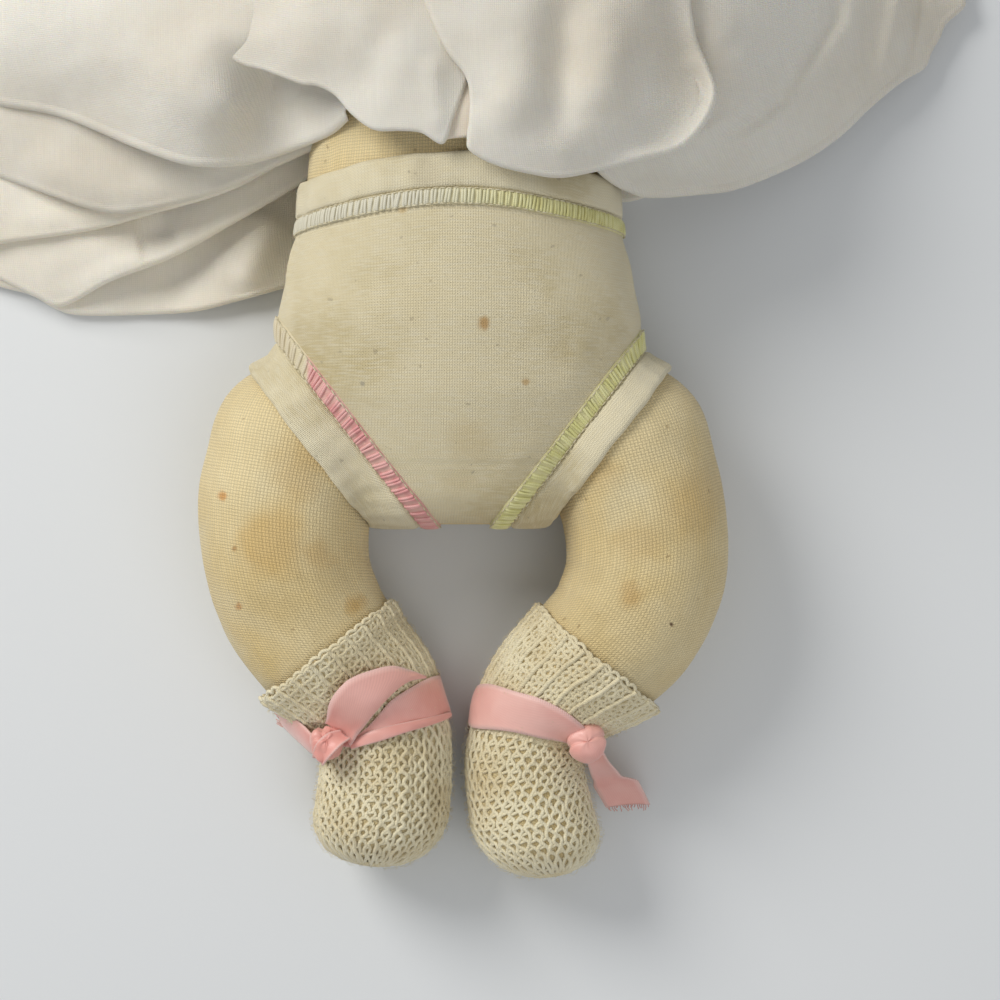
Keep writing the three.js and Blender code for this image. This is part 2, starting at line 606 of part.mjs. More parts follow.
// Head surface in a direction from its centre, shrunk by an amount
function headPoint(direction, shrink) {
  const d = direction;
  const face = THREE.MathUtils.smoothstep(d.z, 0, 0.9);
  const jaw = THREE.MathUtils.smoothstep(-d.y, 0.1, 1);
  const point = d.clone().multiply(HEAD_HALF.clone().subScalar(shrink));
  point.x *= 1 - JAW_TAPER * jaw * face;
  for (const form of FACE_FORMS) {
    const distance = ((d.x - form.x) ** 2 + (d.y - form.y) ** 2) / form.wide ** 2;
    point.addScaledVector(d, form.high * Math.exp(-distance) * face);
  }
  return point.add(HEAD_CENTRE);
}

function headShell(shrink, segments) {
  const geometry = new THREE.SphereGeometry(1, segments, Math.round(segments * 0.75));
  const positions = geometry.attributes.position;
  const point = new THREE.Vector3();
  for (let i = 0; i < positions.count; i++) {
    point.fromBufferAttribute(positions, i).normalize();
    const placed = headPoint(point, shrink);
    positions.setXYZ(i, placed.x, placed.y, placed.z);
  }
  return toSolid(geometry);
}

function alongY(radius, from, to, z, segments = 20) {
  const cylinder = new THREE.CylinderGeometry(radius, radius, to - from, segments);
  return toSolid(cylinder.translate(0, (from + to) / 2, z));
}

// Where an eye's centre lies: under the face's surface by its depth
function eyeCentre(sign) {
  const x = EYE_X / HEAD_HALF.x;
  const y = (EYE_Y - HEAD_CENTRE.y) / HEAD_HALF.y;
  const direction = new THREE.Vector3(x, y, Math.sqrt(1 - x * x - y * y));
  const surface = headPoint(direction, 0);
  return new THREE.Vector3(sign * EYE_X, EYE_Y, surface.z - EYE_DEPTH);
}

// Hollow bisque head with its flanged neck, ears, nose and eye openings
function buildHead() {
  const ellipsoid = (half, at) => ball(new THREE.Vector3(), 1, 8).scale(half).translate(at);
  const neckTop = HEAD_CENTRE.y - HEAD_HALF.y * 0.78;
  const neck = alongY(NECK_RADIUS, FLANGE_Y, neckTop, NECK_Z)
    .add(alongY(FLANGE_RADIUS, FLANGE_Y, FLANGE_Y + FLANGE_THICKNESS, NECK_Z));
  const ears = [1, -1].map((sign) => ellipsoid(EAR.half, [sign * (HEAD_HALF.x - EAR.sunk), EAR.y, EAR.z]));
  const features = [ellipsoid(NOSE.half, NOSE.at), ellipsoid(MOUTH.half, MOUTH.at), ...ears];
  const outer = union([headShell(0, HEAD_SEGMENTS), neck, ...features]);
  const bore = alongY(NECK_RADIUS - BISQUE_WALL, FLANGE_Y - GAP, neckTop + BISQUE_WALL, NECK_Z);
  const hollow = headShell(BISQUE_WALL, HOLLOW_SEGMENTS).add(bore);
  const sockets = [1, -1].map((sign) => ball(eyeCentre(sign), EYE_RADIUS + LID_WALL + SOCKET_CLEARANCE));
  const shell = outer.subtract(hollow).subtract(union(sockets));
  addPiece('bisque_head', 'bisque', cutFlat(shell, 0));
}

// Glass eyes, their lids, the wire that joins them and the lead weight that shuts them when the doll lies
function buildEyes() {
  const centre = eyeCentre(1);
  const reach = EYE_X + WIRE_PAST_EYE;
  const across = (radius) => toSolid(new THREE.CylinderGeometry(radius, radius, 2 * reach + radius, 8).rotateZ(Math.PI / 2))
    .translate([0, centre.y, centre.z]);
  const down = (radius, length) => toSolid(new THREE.CylinderGeometry(radius, radius, length, 8).rotateX(Math.PI / 2))
    .translate([0, centre.y, centre.z - length / 2]);
  addPiece('eye_rocker_wire', 'wire', across(ROCKER_WIRE_RADIUS).add(down(ROCKER_WIRE_RADIUS, ROCKER_ARM)));
  const weight = ball(new THREE.Vector3(0, centre.y, centre.z - ROCKER_ARM), COUNTERWEIGHT_RADIUS, 12);
  addPiece('eye_counterweight', 'lead', weight.subtract(down(ROCKER_WIRE_RADIUS + GAP, ROCKER_ARM + GAP)));
  const wireBore = across(ROCKER_WIRE_RADIUS + GAP);
  for (const side of SIDES) {
    const at = eyeCentre(side.sign);
    const lidInner = EYE_RADIUS + GAP;
    const shell = ball(at, lidInner + LID_WALL, 10).subtract(ball(at, lidInner, 10)).subtract(wireBore);
    const cut = new THREE.BoxGeometry(40, 40, 40).translate(0, 0, -20 - LID_BELOW_MIDDLE).rotateX(LID_TILT);
    addPiece(`${side.name}_glass_eye`, 'glass', ball(at, EYE_RADIUS, 10).subtract(wireBore));
    addPiece(`${side.name}_eyelid`, 'wax', shell.subtract(toSolid(cut.translate(at.x, at.y, at.z))));
    const low = new THREE.Vector3(side.sign * BEARING_X, centre.y, centre.z).sub(BEARING_HALF);
    const high = new THREE.Vector3(side.sign * BEARING_X, centre.y, centre.z + 30).add(BEARING_HALF);
    const bearing = boxSolid(low, high).intersect(headShell(BISQUE_WALL + GAP, HOLLOW_SEGMENTS)).subtract(wireBore);
    addPiece(`${side.name}_eye_bearing`, 'plaster', bearing);
  }
  const stop = boxSolid(STOP_LOW, STOP_HIGH).intersect(headShell(BISQUE_WALL + GAP, HOLLOW_SEGMENTS));
  addPiece('eye_stop', 'cork', stop);
}

// Body and legs together, grown by an amount all round
function bodySolid(grow) {
  return union([torsoSolid(grow), ...SIDES.map((side) => legSolid(side.leg, grow))]);
}

// Underpants: a shell over the seat and the tops of the legs, cut into its bands by curves seen from above
function pantsShell() {
  return bodySolid(GAP + KNIT).subtract(bodySolid(GAP));
}

// Area in x and y between two distances below the waist's top edge, which drops toward the sides
function waistZone(from, to) {
  const edge = (depth) => {
    const points = [];
    for (let i = -6; i <= 6; i++) {
      const x = i / 6 * WAIST_REACH;
      const share = Math.min(Math.abs(x) / WAIST_HALF, 1);
      points.push(new THREE.Vector2(x, WAIST_TOP_Y - WAIST_DROP * share * share - depth));
    }
    return points;
  };
  return prism([...edge(to), ...edge(from).reverse()]);
}

// Area on the body's side of a leg's edge line, between two distances from that edge. past is how far
// it runs on beyond the two ends of the edge
function legZone(side, from, to, past = LEG_BAND_PAST) {
  const along = new THREE.Vector2().subVectors(LEG_EDGE_INNER, LEG_EDGE_OUTER).normalize();
  const inward = new THREE.Vector2(-along.y, along.x);
  if (inward.x > 0) {
    inward.negate();
  }
  const corner = (end, distance) => {
    const p = (end > 0 ? LEG_EDGE_INNER : LEG_EDGE_OUTER).clone();
    p.addScaledVector(along, end > 0 ? past[1] : -past[0]).addScaledVector(inward, distance);
    return new THREE.Vector2(side.sign * p.x, p.y);
  };
  const outline = [corner(1, from), corner(1, to), corner(-1, to), corner(-1, from)];
  return prism(side.sign > 0 ? outline.reverse() : outline);
}

function buildUnderpants() {
  const shell = pantsShell();
  const stitchFrom = WAISTBAND_WIDTH + GAP;
  const panelFrom = stitchFrom + STITCH_WIDTH + GAP;
  addPiece('waistband', 'jersey', shell.intersect(waistZone(0, WAISTBAND_WIDTH)));
  addPiece('waist_stitching', 'yellow_stitch', shell.intersect(waistZone(stitchFrom, stitchFrom + STITCH_WIDTH)));
  let panel = shell.intersect(waistZone(panelFrom, PANEL_REACH));
  for (const side of SIDES) {
    const stitch = LEG_BAND_WIDTH + GAP;
    const slot = side.sign > 0 ? 'yellow_stitch' : 'pink_stitch';
    const half = boxSolid(new THREE.Vector3(GAP, -FAR, -FAR), new THREE.Vector3(FAR, FAR, FAR));
    const onLeg = shell.intersect(mirroredSolid(half, side.sign));
    addPiece(`${side.name}_leg_band`, 'jersey', onLeg.intersect(legZone(side, 0, LEG_BAND_WIDTH)));
    addPiece(`${side.name}_leg_stitching`, slot, onLeg.intersect(legZone(side, stitch, stitch + STITCH_WIDTH)));
    panel = panel.subtract(legZone(side, -FAR, stitch + STITCH_WIDTH + GAP, LEG_CUT_PAST));
  }
  addPiece('underpants_panel', 'jersey', panel);
}

// The torso's section at a height along Y
function torsoAt(y) {
  const i = TORSO_SECTIONS.findIndex((s) => s.y >= y);
  const a = TORSO_SECTIONS[Math.max(i - 1, 0)];
  const b = TORSO_SECTIONS[Math.max(i, 1)];
  const t = THREE.MathUtils.clamp((y - a.y) / (b.y - a.y), 0, 1);
  const between = (key) => THREE.MathUtils.lerp(a[key], b[key], t);
  return { half: between('half'), front: between('front'), back: between('back') };
}

// Height of the torso's front above the table at a place
function torsoTop(x, y) {
  const { half, front, back } = torsoAt(y);
  const share = Math.abs(x) / half;
  if (share >= 1) {
    return 0;
  }
  return (front + back) / 2 + (front - back) / 2 * Math.sqrt(1 - share * share);
}

function foldHeight(folds, x, y) {
  return folds.reduce((sum, fold) => {
    const a = new THREE.Vector2(...fold.from);
    const along = new THREE.Vector2(...fold.to).sub(a);
    const p = new THREE.Vector2(x, y).sub(a);
    const t = THREE.MathUtils.clamp(p.dot(along) / along.lengthSq(), 0, 1);
    const distance = p.distanceTo(along.multiplyScalar(t));
    return sum + fold.high * Math.exp(-((distance / fold.wide) ** 2));
  }, 0);
}

// The front half stays clear of the belly and the underpants, and comes down to the yoke's face along its seam
function frontSurface(x, y, loose) {
  const height = Math.max(loose, torsoTop(x, y) + GAP + KNIT + GAP + LAWN);
  const sewn = THREE.MathUtils.smoothstep(y, YOKE_BOTTOM_Y - GATHER_LENGTH, YOKE_BOTTOM_Y - GAP)
    * THREE.MathUtils.smoothstep(-Math.abs(x), -SEAM_HALF, -SEAM_HALF * 0.8);
  return THREE.MathUtils.lerp(height, torsoTop(x, y) + GAP + LAWN, sewn);
}

// One skirt half, as thick as the cloth. surface turns a place and the height of the loose cloth there into its height
function skirtSolid(stations, columns, folds, surface) {
  const curves = [1, 2, 3, 4, 5, 6].map((k) => {
    const points = stations.map((station) => new THREE.Vector3(station[0], station[k], 0));
    return new THREE.CatmullRomCurve3(points, false, 'centripetal');
  });
  const top = [];
  for (let i = 0; i <= columns; i++) {
    const x = curves[0].getPoint(i / columns).x;
    const [low, high, ...heights] = curves.map((c) => c.getPoint(i / columns).y);
    for (let j = 0; j <= SKIRT_ROWS; j++) {
      const share = j / SKIRT_ROWS;
      const k = Math.min(Math.floor(share * 3), 2);
      const y = THREE.MathUtils.lerp(low, Math.max(high, low + 2), share);
      const level = THREE.MathUtils.lerp(heights[k], heights[k + 1], share * 3 - k);
      top.push(new THREE.Vector3(x, y, surface(x, y, level + foldHeight(folds, x, y))));
    }
  }
  const bottom = top.map((p) => new THREE.Vector3(p.x, p.y, p.z - LAWN));
  return toSolid(slabGeometry(top, bottom, columns, SKIRT_ROWS));
}

// Closed slab from matching grids of top and bottom points
function slabGeometry(top, bottom, columns, rows) {
  const index = [];
  const count = top.length;
  const id = (i, j) => i * (rows + 1) + j;
  const quad = (a, b, c, d) => index.push(a, b, c, a, c, d);
  for (let i = 0; i < columns; i++) {
    for (let j = 0; j < rows; j++) {
      quad(id(i, j), id(i + 1, j), id(i + 1, j + 1), id(i, j + 1));
      quad(count + id(i, j), count + id(i, j + 1), count + id(i + 1, j + 1), count + id(i + 1, j));
    }
  }
  for (let i = 0; i < columns; i++) {
    quad(id(i, 0), count + id(i, 0), count + id(i + 1, 0), id(i + 1, 0));
    quad(id(i + 1, rows), count + id(i + 1, rows), count + id(i, rows), id(i, rows));
  }
  for (let j = 0; j < rows; j++) {
    quad(id(0, j + 1), count + id(0, j + 1), count + id(0, j), id(0, j));
    quad(id(columns, j), count + id(columns, j), count + id(columns, j + 1), id(columns, j + 1));
  }
  const geometry = new THREE.BufferGeometry().setFromPoints([...top, ...bottom]);
  geometry.setIndex(index);
  return geometry;
}

function buildGown() {
  const yokeShell = torsoSolid(GAP + LAWN).subtract(torsoSolid(GAP));
  const yokeZone = boxSolid(new THREE.Vector3(-FAR, YOKE_BOTTOM_Y, -FAR), new THREE.Vector3(FAR, YOKE_TOP_Y, FAR));
  addPiece('gown_yoke', 'lawn', yokeShell.intersect(yokeZone).subtract(limbClearance(2 * GAP)));
  const collarFrom = YOKE_TOP_Y + GAP;
  const collarZone = boxSolid(new THREE.Vector3(-FAR, collarFrom, -FAR), new THREE.Vector3(FAR, collarFrom + COLLAR_WALL, FAR));
  const collar = torsoSolid(GAP + COLLAR_WIDTH).subtract(torsoSolid(GAP)).intersect(collarZone);
  addPiece('gown_collar', 'lawn', collar);
  addPiece('gown_skirt_back', 'lawn', skirtSolid(SKIRT_BACK, BACK_COLUMNS, [], (x, y, loose) => Math.max(loose, LAWN)));
  const front = skirtSolid(SKIRT_FRONT, FRONT_COLUMNS, FRONT_FOLDS, frontSurface);
  const overPants = bodySolid(GAP + KNIT + GAP).intersect(upTo(WAIST_TOP_Y + GAP));
  addPiece('gown_skirt_front', 'lawn', front.subtract(bodySolid(GAP)).subtract(overPants));
}

buildTorso();
for (const side of SIDES) {
  buildLeg(side);
  buildSock(side);
  buildRibbon(side);
  buildArm(side);
}
buildHead();
buildEyes();
buildUnderpants();
buildGown();

export default group;
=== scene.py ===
"""A porcelain-headed baby doll on its back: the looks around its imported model.
Lengths in the helpers are millimetres, in the model's frame; objects are written in metres."""

import math

import bmesh
import bpy
import numpy as np
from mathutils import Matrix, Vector, noise


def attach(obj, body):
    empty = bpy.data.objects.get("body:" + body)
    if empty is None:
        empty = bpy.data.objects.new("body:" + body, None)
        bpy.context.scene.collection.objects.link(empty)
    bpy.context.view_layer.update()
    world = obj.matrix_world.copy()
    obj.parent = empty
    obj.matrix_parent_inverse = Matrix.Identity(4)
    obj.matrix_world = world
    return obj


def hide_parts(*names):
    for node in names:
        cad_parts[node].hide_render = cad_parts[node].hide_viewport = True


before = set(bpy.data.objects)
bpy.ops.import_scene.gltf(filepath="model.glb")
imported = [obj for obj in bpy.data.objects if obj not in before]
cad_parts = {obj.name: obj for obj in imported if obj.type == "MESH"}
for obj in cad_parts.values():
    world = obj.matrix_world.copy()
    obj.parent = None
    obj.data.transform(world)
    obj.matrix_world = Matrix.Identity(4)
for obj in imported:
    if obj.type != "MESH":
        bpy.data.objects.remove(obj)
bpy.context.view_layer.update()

MM = 0.001
KNIT = 0.9
GAP = 0.3
UP = np.array([0.0, 0.0, 1.0])
TURN = 2 * math.pi
SIDES = {"left": 1, "right": -1}

# The photograph's frame: its pixels are 0.23 mm wide at 20 mm above the table, under the lens
PIXEL, PIXELS, MIDDLE = 0.23, 1000, 500
LENS_X, LENS_Y, LENS_Z, LEVEL_Z = 9.2, -39.1, 620.0, 20.0
SENSOR = 36.0


def at_pixel(px, py, z=LEVEL_Z):
    """Place in x and y that shows at a pixel of the photograph, for a point at height z."""
    scale = PIXEL * (LENS_Z - z) / (LENS_Z - LEVEL_Z)
    return np.array([LENS_X + (px - MIDDLE) * scale, LENS_Y + (MIDDLE - py) * scale])


# Camera, straight above the hips
scene = bpy.context.scene
camera_data = bpy.data.cameras.new("camera")
camera_data.sensor_width = SENSOR
camera_data.lens = SENSOR * (LENS_Z - LEVEL_Z) / (PIXELS * PIXEL)
camera = bpy.data.objects.new("camera", camera_data)
camera.location = (LENS_X * MM, LENS_Y * MM, LENS_Z * MM)
scene.collection.objects.link(camera)
scene.camera = camera
scene.view_settings.view_transform = "Standard"


def add_lamp(name, place, aim, size, power, colour):
    """A round soft lamp; its places and size are in metres."""
    data = bpy.data.lights.new(name, "AREA")
    data.shape, data.size, data.energy, data.color = "DISK", size, power, colour
    lamp = bpy.data.objects.new(name, data)
    lamp.location = place
    lamp.rotation_euler = (Vector(aim) - Vector(place)).to_track_quat("-Z", "Y").to_euler()
    scene.collection.objects.link(lamp)


AIM = (0, 0, 0.02)
add_lamp("window", (-0.62, 0.52, 0.62), AIM, 0.55, 7.2, (1.0, 0.985, 0.955))
add_lamp("room", (0.35, -0.55, 0.9), AIM, 0.9, 2.2, (0.97, 0.98, 1.0))


# Materials
def linear(shade):
    """Linear colour from the 0 to 255 values that a picture shows."""
    values = []
    for value in shade:
        c = value / 255
        values.append(c / 12.92 if c <= 0.04045 else ((c + 0.055) / 1.055) ** 2.4)
    return (*values, 1.0)


class Surface:
    """A node material: a principled shader and small helpers that add nodes to it."""

    def __init__(self, name, roughness=0.8, metallic=0.0, sheen=0.0, specular=0.5, coat=0.0, subsurface=0.0):
        self.material = bpy.data.materials.new(name)
        self.material.use_nodes = True
        self.nodes = self.material.node_tree.nodes
        self.links = self.material.node_tree.links
        self.shader = self.nodes["Principled BSDF"]
        settings = {"Roughness": roughness, "Metallic": metallic, "Sheen Weight": sheen,
                    "Sheen Roughness": 0.5, "Specular IOR Level": specular, "Coat Weight": coat,
                    "Coat Roughness": 0.15, "Subsurface Weight": subsurface,
                    "Subsurface Radius": (0.003, 0.002, 0.001)}
        for key, value in settings.items():
            self.shader.inputs[key].default_value = value
        coordinates = self.nodes.new("ShaderNodeTexCoord")
        self.object = coordinates.outputs["Object"]
        self.uv = coordinates.outputs["UV"]
        self.split = {}

    def put(self, socket, value):
        if isinstance(value, bpy.types.NodeSocket):
            self.links.new(value, socket)
        elif value is not None:
            socket.default_value = value

    def node(self, kind, inputs, **settings):
        """A node with its settings and with its inputs, by name or by number, set or linked."""
        node = self.nodes.new("ShaderNode" + kind)
        for key, value in settings.items():
            setattr(node, key, value)
        for key, value in inputs.items():
            self.put(node.inputs[key], value)
        return node

    def math(self, operation, *values, clamp=False):
        return self.node("Math", dict(enumerate(values)), operation=operation, use_clamp=clamp).outputs[0]

    def times(self, a, b):
        return self.math("MULTIPLY", a, b)

    def plus(self, a, b):
        return self.math("ADD", a, b)

    def level(self, a, factor, offset):
        return self.math("MULTIPLY_ADD", a, factor, offset)

    def part(self, vector, axis):
        key = vector.as_pointer()
        if key not in self.split:
            self.split[key] = self.node("SeparateXYZ", {0: vector})
        return self.split[key].outputs[axis]

    def join(self, *values):
        return self.node("CombineXYZ", dict(enumerate(values))).outputs[0]

    def stretched(self, vector, *factors):
        """A vector with each of its parts multiplied by a factor."""
        parts = [self.times(self.part(vector, axis), factor) for axis, factor in enumerate(factors)]
        return self.join(*parts)

    def noise(self, vector, scale, detail=2.0, roughness=0.5, distortion=0.0):
        inputs = {"Vector": vector, "Scale": scale, "Detail": detail, "Roughness": roughness,
                  "Distortion": distortion}
        return self.node("TexNoise", inputs).outputs[0]

    def cloud(self, *settings):
        return self.noise(self.object, *settings)

    def ramp(self, value, low, high, to_low=0.0, to_high=1.0):
        inputs = {"Value": value, "From Min": low, "From Max": high, "To Min": to_low, "To Max": to_high}
        return self.node("MapRange", inputs, interpolation_type="SMOOTHSTEP").outputs[0]

    def mix(self, factor, a, b, blend="MIX"):
        return self.node("Mix", {0: factor, 6: a, 7: b}, data_type="RGBA", blend_type=blend).outputs[2]

    def tones(self, mask, low, high, base, dark):
        """Colour that goes from base to dark as a mask goes from low to high."""
        return self.mix(self.ramp(mask, low, high), linear(base), linear(dark))

    def tint(self, colour, mask, low, high, share, shade):
        """A colour with a share of a shade mixed in as a mask goes from low to high."""
        return self.mix(self.ramp(mask, low, high, 0.0, share), colour, linear(shade))

    def shaded(self, colour, height, depth, level):
        """A colour darkened where the cloth's own relief is low."""
        grey = self.level(height, depth, level)
        return self.mix(1.0, colour, self.join(grey, grey, grey), "MULTIPLY")

    def zigzag(self, value):
        """Distance of a value from the nearest half: 0.5 at whole numbers and 0 midway between them."""
        return self.math("ABSOLUTE", self.math("SUBTRACT", self.math("FRACT", value), 0.5))

    def spot(self, x, y, radius, soft, wobble):
        """A stain seen from above at a place in millimetres: 1 in it and 0 outside."""
        dx = self.math("SUBTRACT", self.part(self.object, 0), x * MM)
        dy = self.math("SUBTRACT", self.part(self.object, 1), y * MM)
        distance = self.math("SQRT", self.plus(self.times(dx, dx), self.times(dy, dy)))
        rough = self.cloud(0.9 / (radius * MM), 3.0)
        uneven = self.times(self.math("SUBTRACT", rough, 0.5), radius * MM * wobble * 2)
        return self.ramp(self.plus(distance, uneven), radius * MM, radius * MM * (1 - soft))

    def stained(self, colour, stains, soft, wobble):
        """A colour with stains, each seen at a pixel: (px, py, z, radius, strength, shade)."""
        for px, py, z, radius, strength, shade in stains:
            mask = self.times(self.spot(*at_pixel(px, py, z), radius, soft, wobble), strength)
            colour = self.mix(mask, colour, linear(shade))
        return colour

    def attribute(self, name):
        return self.node("Attribute", {}, attribute_name=name).outputs["Fac"]

    def weave(self, pitch_u, pitch_v):
        """Plain weave in the UV plane, which is in metres: its height, from 0 to 1."""
        u = self.times(self.part(self.uv, 0), math.pi / (pitch_u * MM))
        v = self.times(self.part(self.uv, 1), math.pi / (pitch_v * MM))
        su, sv = self.math("SINE", u), self.math("SINE", v)
        over = self.math("MULTIPLY_ADD", self.times(su, sv), 1.6, 0.5, clamp=True)
        first = self.times(self.math("ABSOLUTE", su), over)
        return self.plus(first, self.times(self.math("ABSOLUTE", sv), self.math("SUBTRACT", 1.0, over)))

    def slubs(self, across, along, scale_u, scale_v):
        """Uneven thread thickness: noise drawn out along u and along v, from 0 to 1."""
        one = self.noise(self.stretched(self.uv, scale_u, scale_v), along, 1.0)
        two = self.noise(self.stretched(self.uv, scale_v, scale_u), across, 1.0)
        return self.level(self.plus(one, two), 0.5, 0.0)

    def bump(self, height, depth_mm, strength, normal=None):
        inputs = {"Height": height, "Distance": depth_mm * MM, "Strength": strength, "Normal": normal}
        return self.node("Bump", inputs).outputs["Normal"]

    def finish(self, colour, normal, roughness=None):
        self.put(self.shader.inputs["Base Color"], colour)
        self.put(self.shader.inputs["Normal"], normal)
        self.put(self.shader.inputs["Roughness"], roughness)
        return self.material


def muslin_material(name, stains=(), base=(236, 218, 172), dark=(222, 198, 142)):
    """Plain unbleached cotton, yellowed unevenly and stained."""
    s = Surface(name, roughness=0.9, sheen=0.25, specular=0.25)
    weave, slub = s.weave(0.66, 0.7), s.slubs(9.0, 1.0, 1900.0, 130.0)
    colour = s.tones(s.cloud(26.0, 4.0, 0.6), 0.35, 0.72, base, dark)
    colour = s.tint(colour, s.cloud(70.0, 3.0, 0.55), 0.5, 0.8, 0.3, (232, 200, 128))
    colour = s.tint(colour, s.cloud(48.0, 2.0), 0.5, 0.75, 0.4, (232, 222, 188))
    colour = s.stained(colour, stains, 0.75, 0.5)
    colour = s.tint(colour, s.cloud(420.0, 1.0), 0.76, 0.8, 0.4, (140, 108, 70))
    colour = s.shaded(colour, s.times(weave, s.level(slub, 0.9, 0.1)), 0.62, 0.745)
    fine = s.bump(s.plus(weave, s.times(slub, 0.7)), 0.2, 0.9)
    return s.finish(colour, s.bump(s.cloud(130.0, 3.0), 0.35, 0.5, fine))


def jersey_material(name, stains, base, width=0.71, stitch_tall=0.62):
    """Fine cotton jersey: columns of small V stitches along v, washed and slightly pilled."""
    s = Surface(name, roughness=0.92, sheen=0.3, specular=0.2)
    column = s.zigzag(s.times(s.part(s.uv, 0), 1 / (width * MM)))
    stitch = s.zigzag(s.level(s.part(s.uv, 1), 1 / (stitch_tall * MM), s.times(column, 1.6)))
    body = s.math("SUBTRACT", 1.0, s.math("ABSOLUTE", s.level(column, 4.0, -1.0)))
    height = s.level(stitch, 0.9, s.times(body, 0.75))
    colour = s.tones(s.cloud(30.0, 4.0, 0.6), 0.4, 0.72, base, (203, 186, 138))
    colour = s.tint(colour, s.noise(s.stretched(s.uv, 260.0, 1900.0), 1.0), 0.42, 0.68, 0.42, (234, 226, 200))
    colour = s.stained(colour, stains, 0.7, 0.45)
    colour = s.tint(colour, s.cloud(520.0, 1.0), 0.74, 0.79, 0.35, (140, 128, 108))
    normal = s.bump(s.cloud(210.0, 3.0), 0.2, 0.5, s.bump(height, 0.18, 0.85))
    return s.finish(s.shaded(colour, height, 0.36, 0.77), normal)


def lawn_material(name, base=(233, 229, 218), dark=(221, 213, 197)):
    """Thin white cotton lawn gone slightly cream, with a very fine weave."""
    s = Surface(name, roughness=0.85, sheen=0.2, specular=0.25, subsurface=0.2)
    weave, slub = s.weave(0.44, 0.47), s.slubs(7.0, 1.0, 2600.0, 90.0)
    colour = s.tones(s.cloud(20.0, 4.0, 0.55), 0.35, 0.7, base, dark)
    normal = s.bump(s.cloud(95.0, 5.0, 0.62, 0.6), 0.5, 0.55, s.bump(s.plus(weave, slub), 0.1, 0.8))
    return s.finish(s.shaded(colour, s.level(weave, 0.6, slub), 0.17, 0.84), normal)


def twisted(s, along, around):
    """Plies wound round a strand, with u around it and v along it: their pitches in millimetres."""
    return s.zigzag(s.level(s.part(s.uv, 1), 1 / (along * MM), s.times(s.part(s.uv, 0), 1 / (around * MM))))


def yarn_material(name, base, dark, worn):
    """Soft spun yarn, unevenly worn to another shade."""
    s = Surface(name, roughness=0.9, sheen=0.5, specular=0.2)
    ply = twisted(s, 0.55, 0.9)
    colour = s.tones(s.cloud(60.0, 3.0, 0.6), 0.35, 0.7, base, dark)
    colour = s.tint(colour, s.cloud(90.0, 3.0), 0.5, 0.72, 0.4, worn)
    height = s.level(s.cloud(2600.0, 2.0), 0.35, ply)
    return s.finish(s.shaded(colour, ply, 0.3, 0.85), s.bump(height, 0.15, 0.8))


def satin_material(name):
    """Pink satin ribbon: fine slanted twill, woven edges, slightly faded and creased."""
    s = Surface(name, roughness=0.42, sheen=0.3, specular=0.5)
    v = s.part(s.uv, 1)
    twill = s.zigzag(s.level(s.part(s.uv, 0), 1 / (0.42 * MM), s.times(v, 1 / (0.8 * MM))))
    edge = s.attribute("edge")
    picot = s.math("ABSOLUTE", s.math("SINE", s.times(v, math.pi / (0.55 * MM))))
    colour = s.tones(s.cloud(70.0, 3.0, 0.6), 0.35, 0.7, (246, 184, 172), (236, 160, 148))
    colour = s.tint(colour, s.cloud(34.0, 2.0), 0.48, 0.72, 0.5, (249, 210, 200))
    colour = s.mix(s.times(edge, s.level(picot, 0.5, 0.3)), colour, linear((246, 214, 206)))
    normal = s.bump(s.level(s.times(edge, picot), 1.6, twill), 0.05, 0.6)
    normal = s.bump(s.cloud(170.0, 4.0, 0.6), 0.4, 0.5, normal)
    return s.finish(s.shaded(colour, twill, 0.18, 0.9), normal, s.level(edge, 0.3, s.level(twill, 0.16, 0.3)))


def thread_material(name, base, dark, pale=None, split=(0, 0)):
    """Sewing thread with a hard twist. It turns pale where x is below the places of the split."""
    s = Surface(name, roughness=0.55, sheen=0.2, specular=0.4)
    ply = twisted(s, 0.45, 0.7)
    colour = s.tones(s.cloud(330.0, 2.0), 0.4, 0.65, base, dark)
    if pale:
        mask = s.ramp(s.part(s.object, 0), split[0] * MM, split[1] * MM, 1.0, 0.0)
        colour = s.mix(mask, colour, linear(pale))
    return s.finish(s.shaded(colour, ply, 0.36, 0.82), s.bump(ply, 0.08, 0.7))


# Mesh builders
def shade_smooth(piece):
    piece.data.polygons.foreach_set("use_smooth", [True] * len(piece.data.polygons))


def link(name, mesh, material=None):
    piece = bpy.data.objects.new(name, mesh)
    scene.collection.objects.link(piece)
    if material:
        mesh.materials.append(material)
    shade_smooth(piece)
    return piece


def dress(piece, body, slot, *nodes):
    """Say which body a piece moves with and which solids it stands for. The slot is not used."""
    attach(piece, body)
    if nodes:
        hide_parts(*nodes)
    return piece


def thicken(piece, thick, offset=0):
    """Give a surface a thickness in millimetres. An offset of -1 puts all of it inside."""
    solid = piece.modifiers.new("thickness", "SOLIDIFY")
    solid.thickness, solid.offset = thick * MM, offset


def paint(piece, name, values):
    """Mark a piece's points with values that its material reads."""
    layer = piece.data.attributes.new(name, "FLOAT", "POINT")
    layer.data.foreach_set("value", np.asarray(values, np.float32))


def make_mesh(name, points, faces, corners=None):
    """A mesh from points in millimetres and faces, with one UV in millimetres for each face corner."""
    mesh = bpy.data.meshes.new(name)
    mesh.from_pydata((np.asarray(points, float) * MM).tolist(), [], [list(map(int, f)) for f in faces])
    if corners is not None:
        layer = mesh.uv_layers.new(name="cloth")
        layer.data.foreach_set("uv", (np.asarray(corners, float) * MM).ravel())
    mesh.validate()
    mesh.update()
    return mesh


def lengths(points):
    """Distance run along each row of points."""
    return np.concatenate([[0.0], np.cumsum(np.linalg.norm(np.diff(points, axis=0), axis=1))])


def unit(vectors, least=1e-9):
    """Vectors scaled to length 1, apart from those that are nearly nothing."""
    return vectors / np.maximum(np.linalg.norm(vectors, axis=-1, keepdims=True), least)


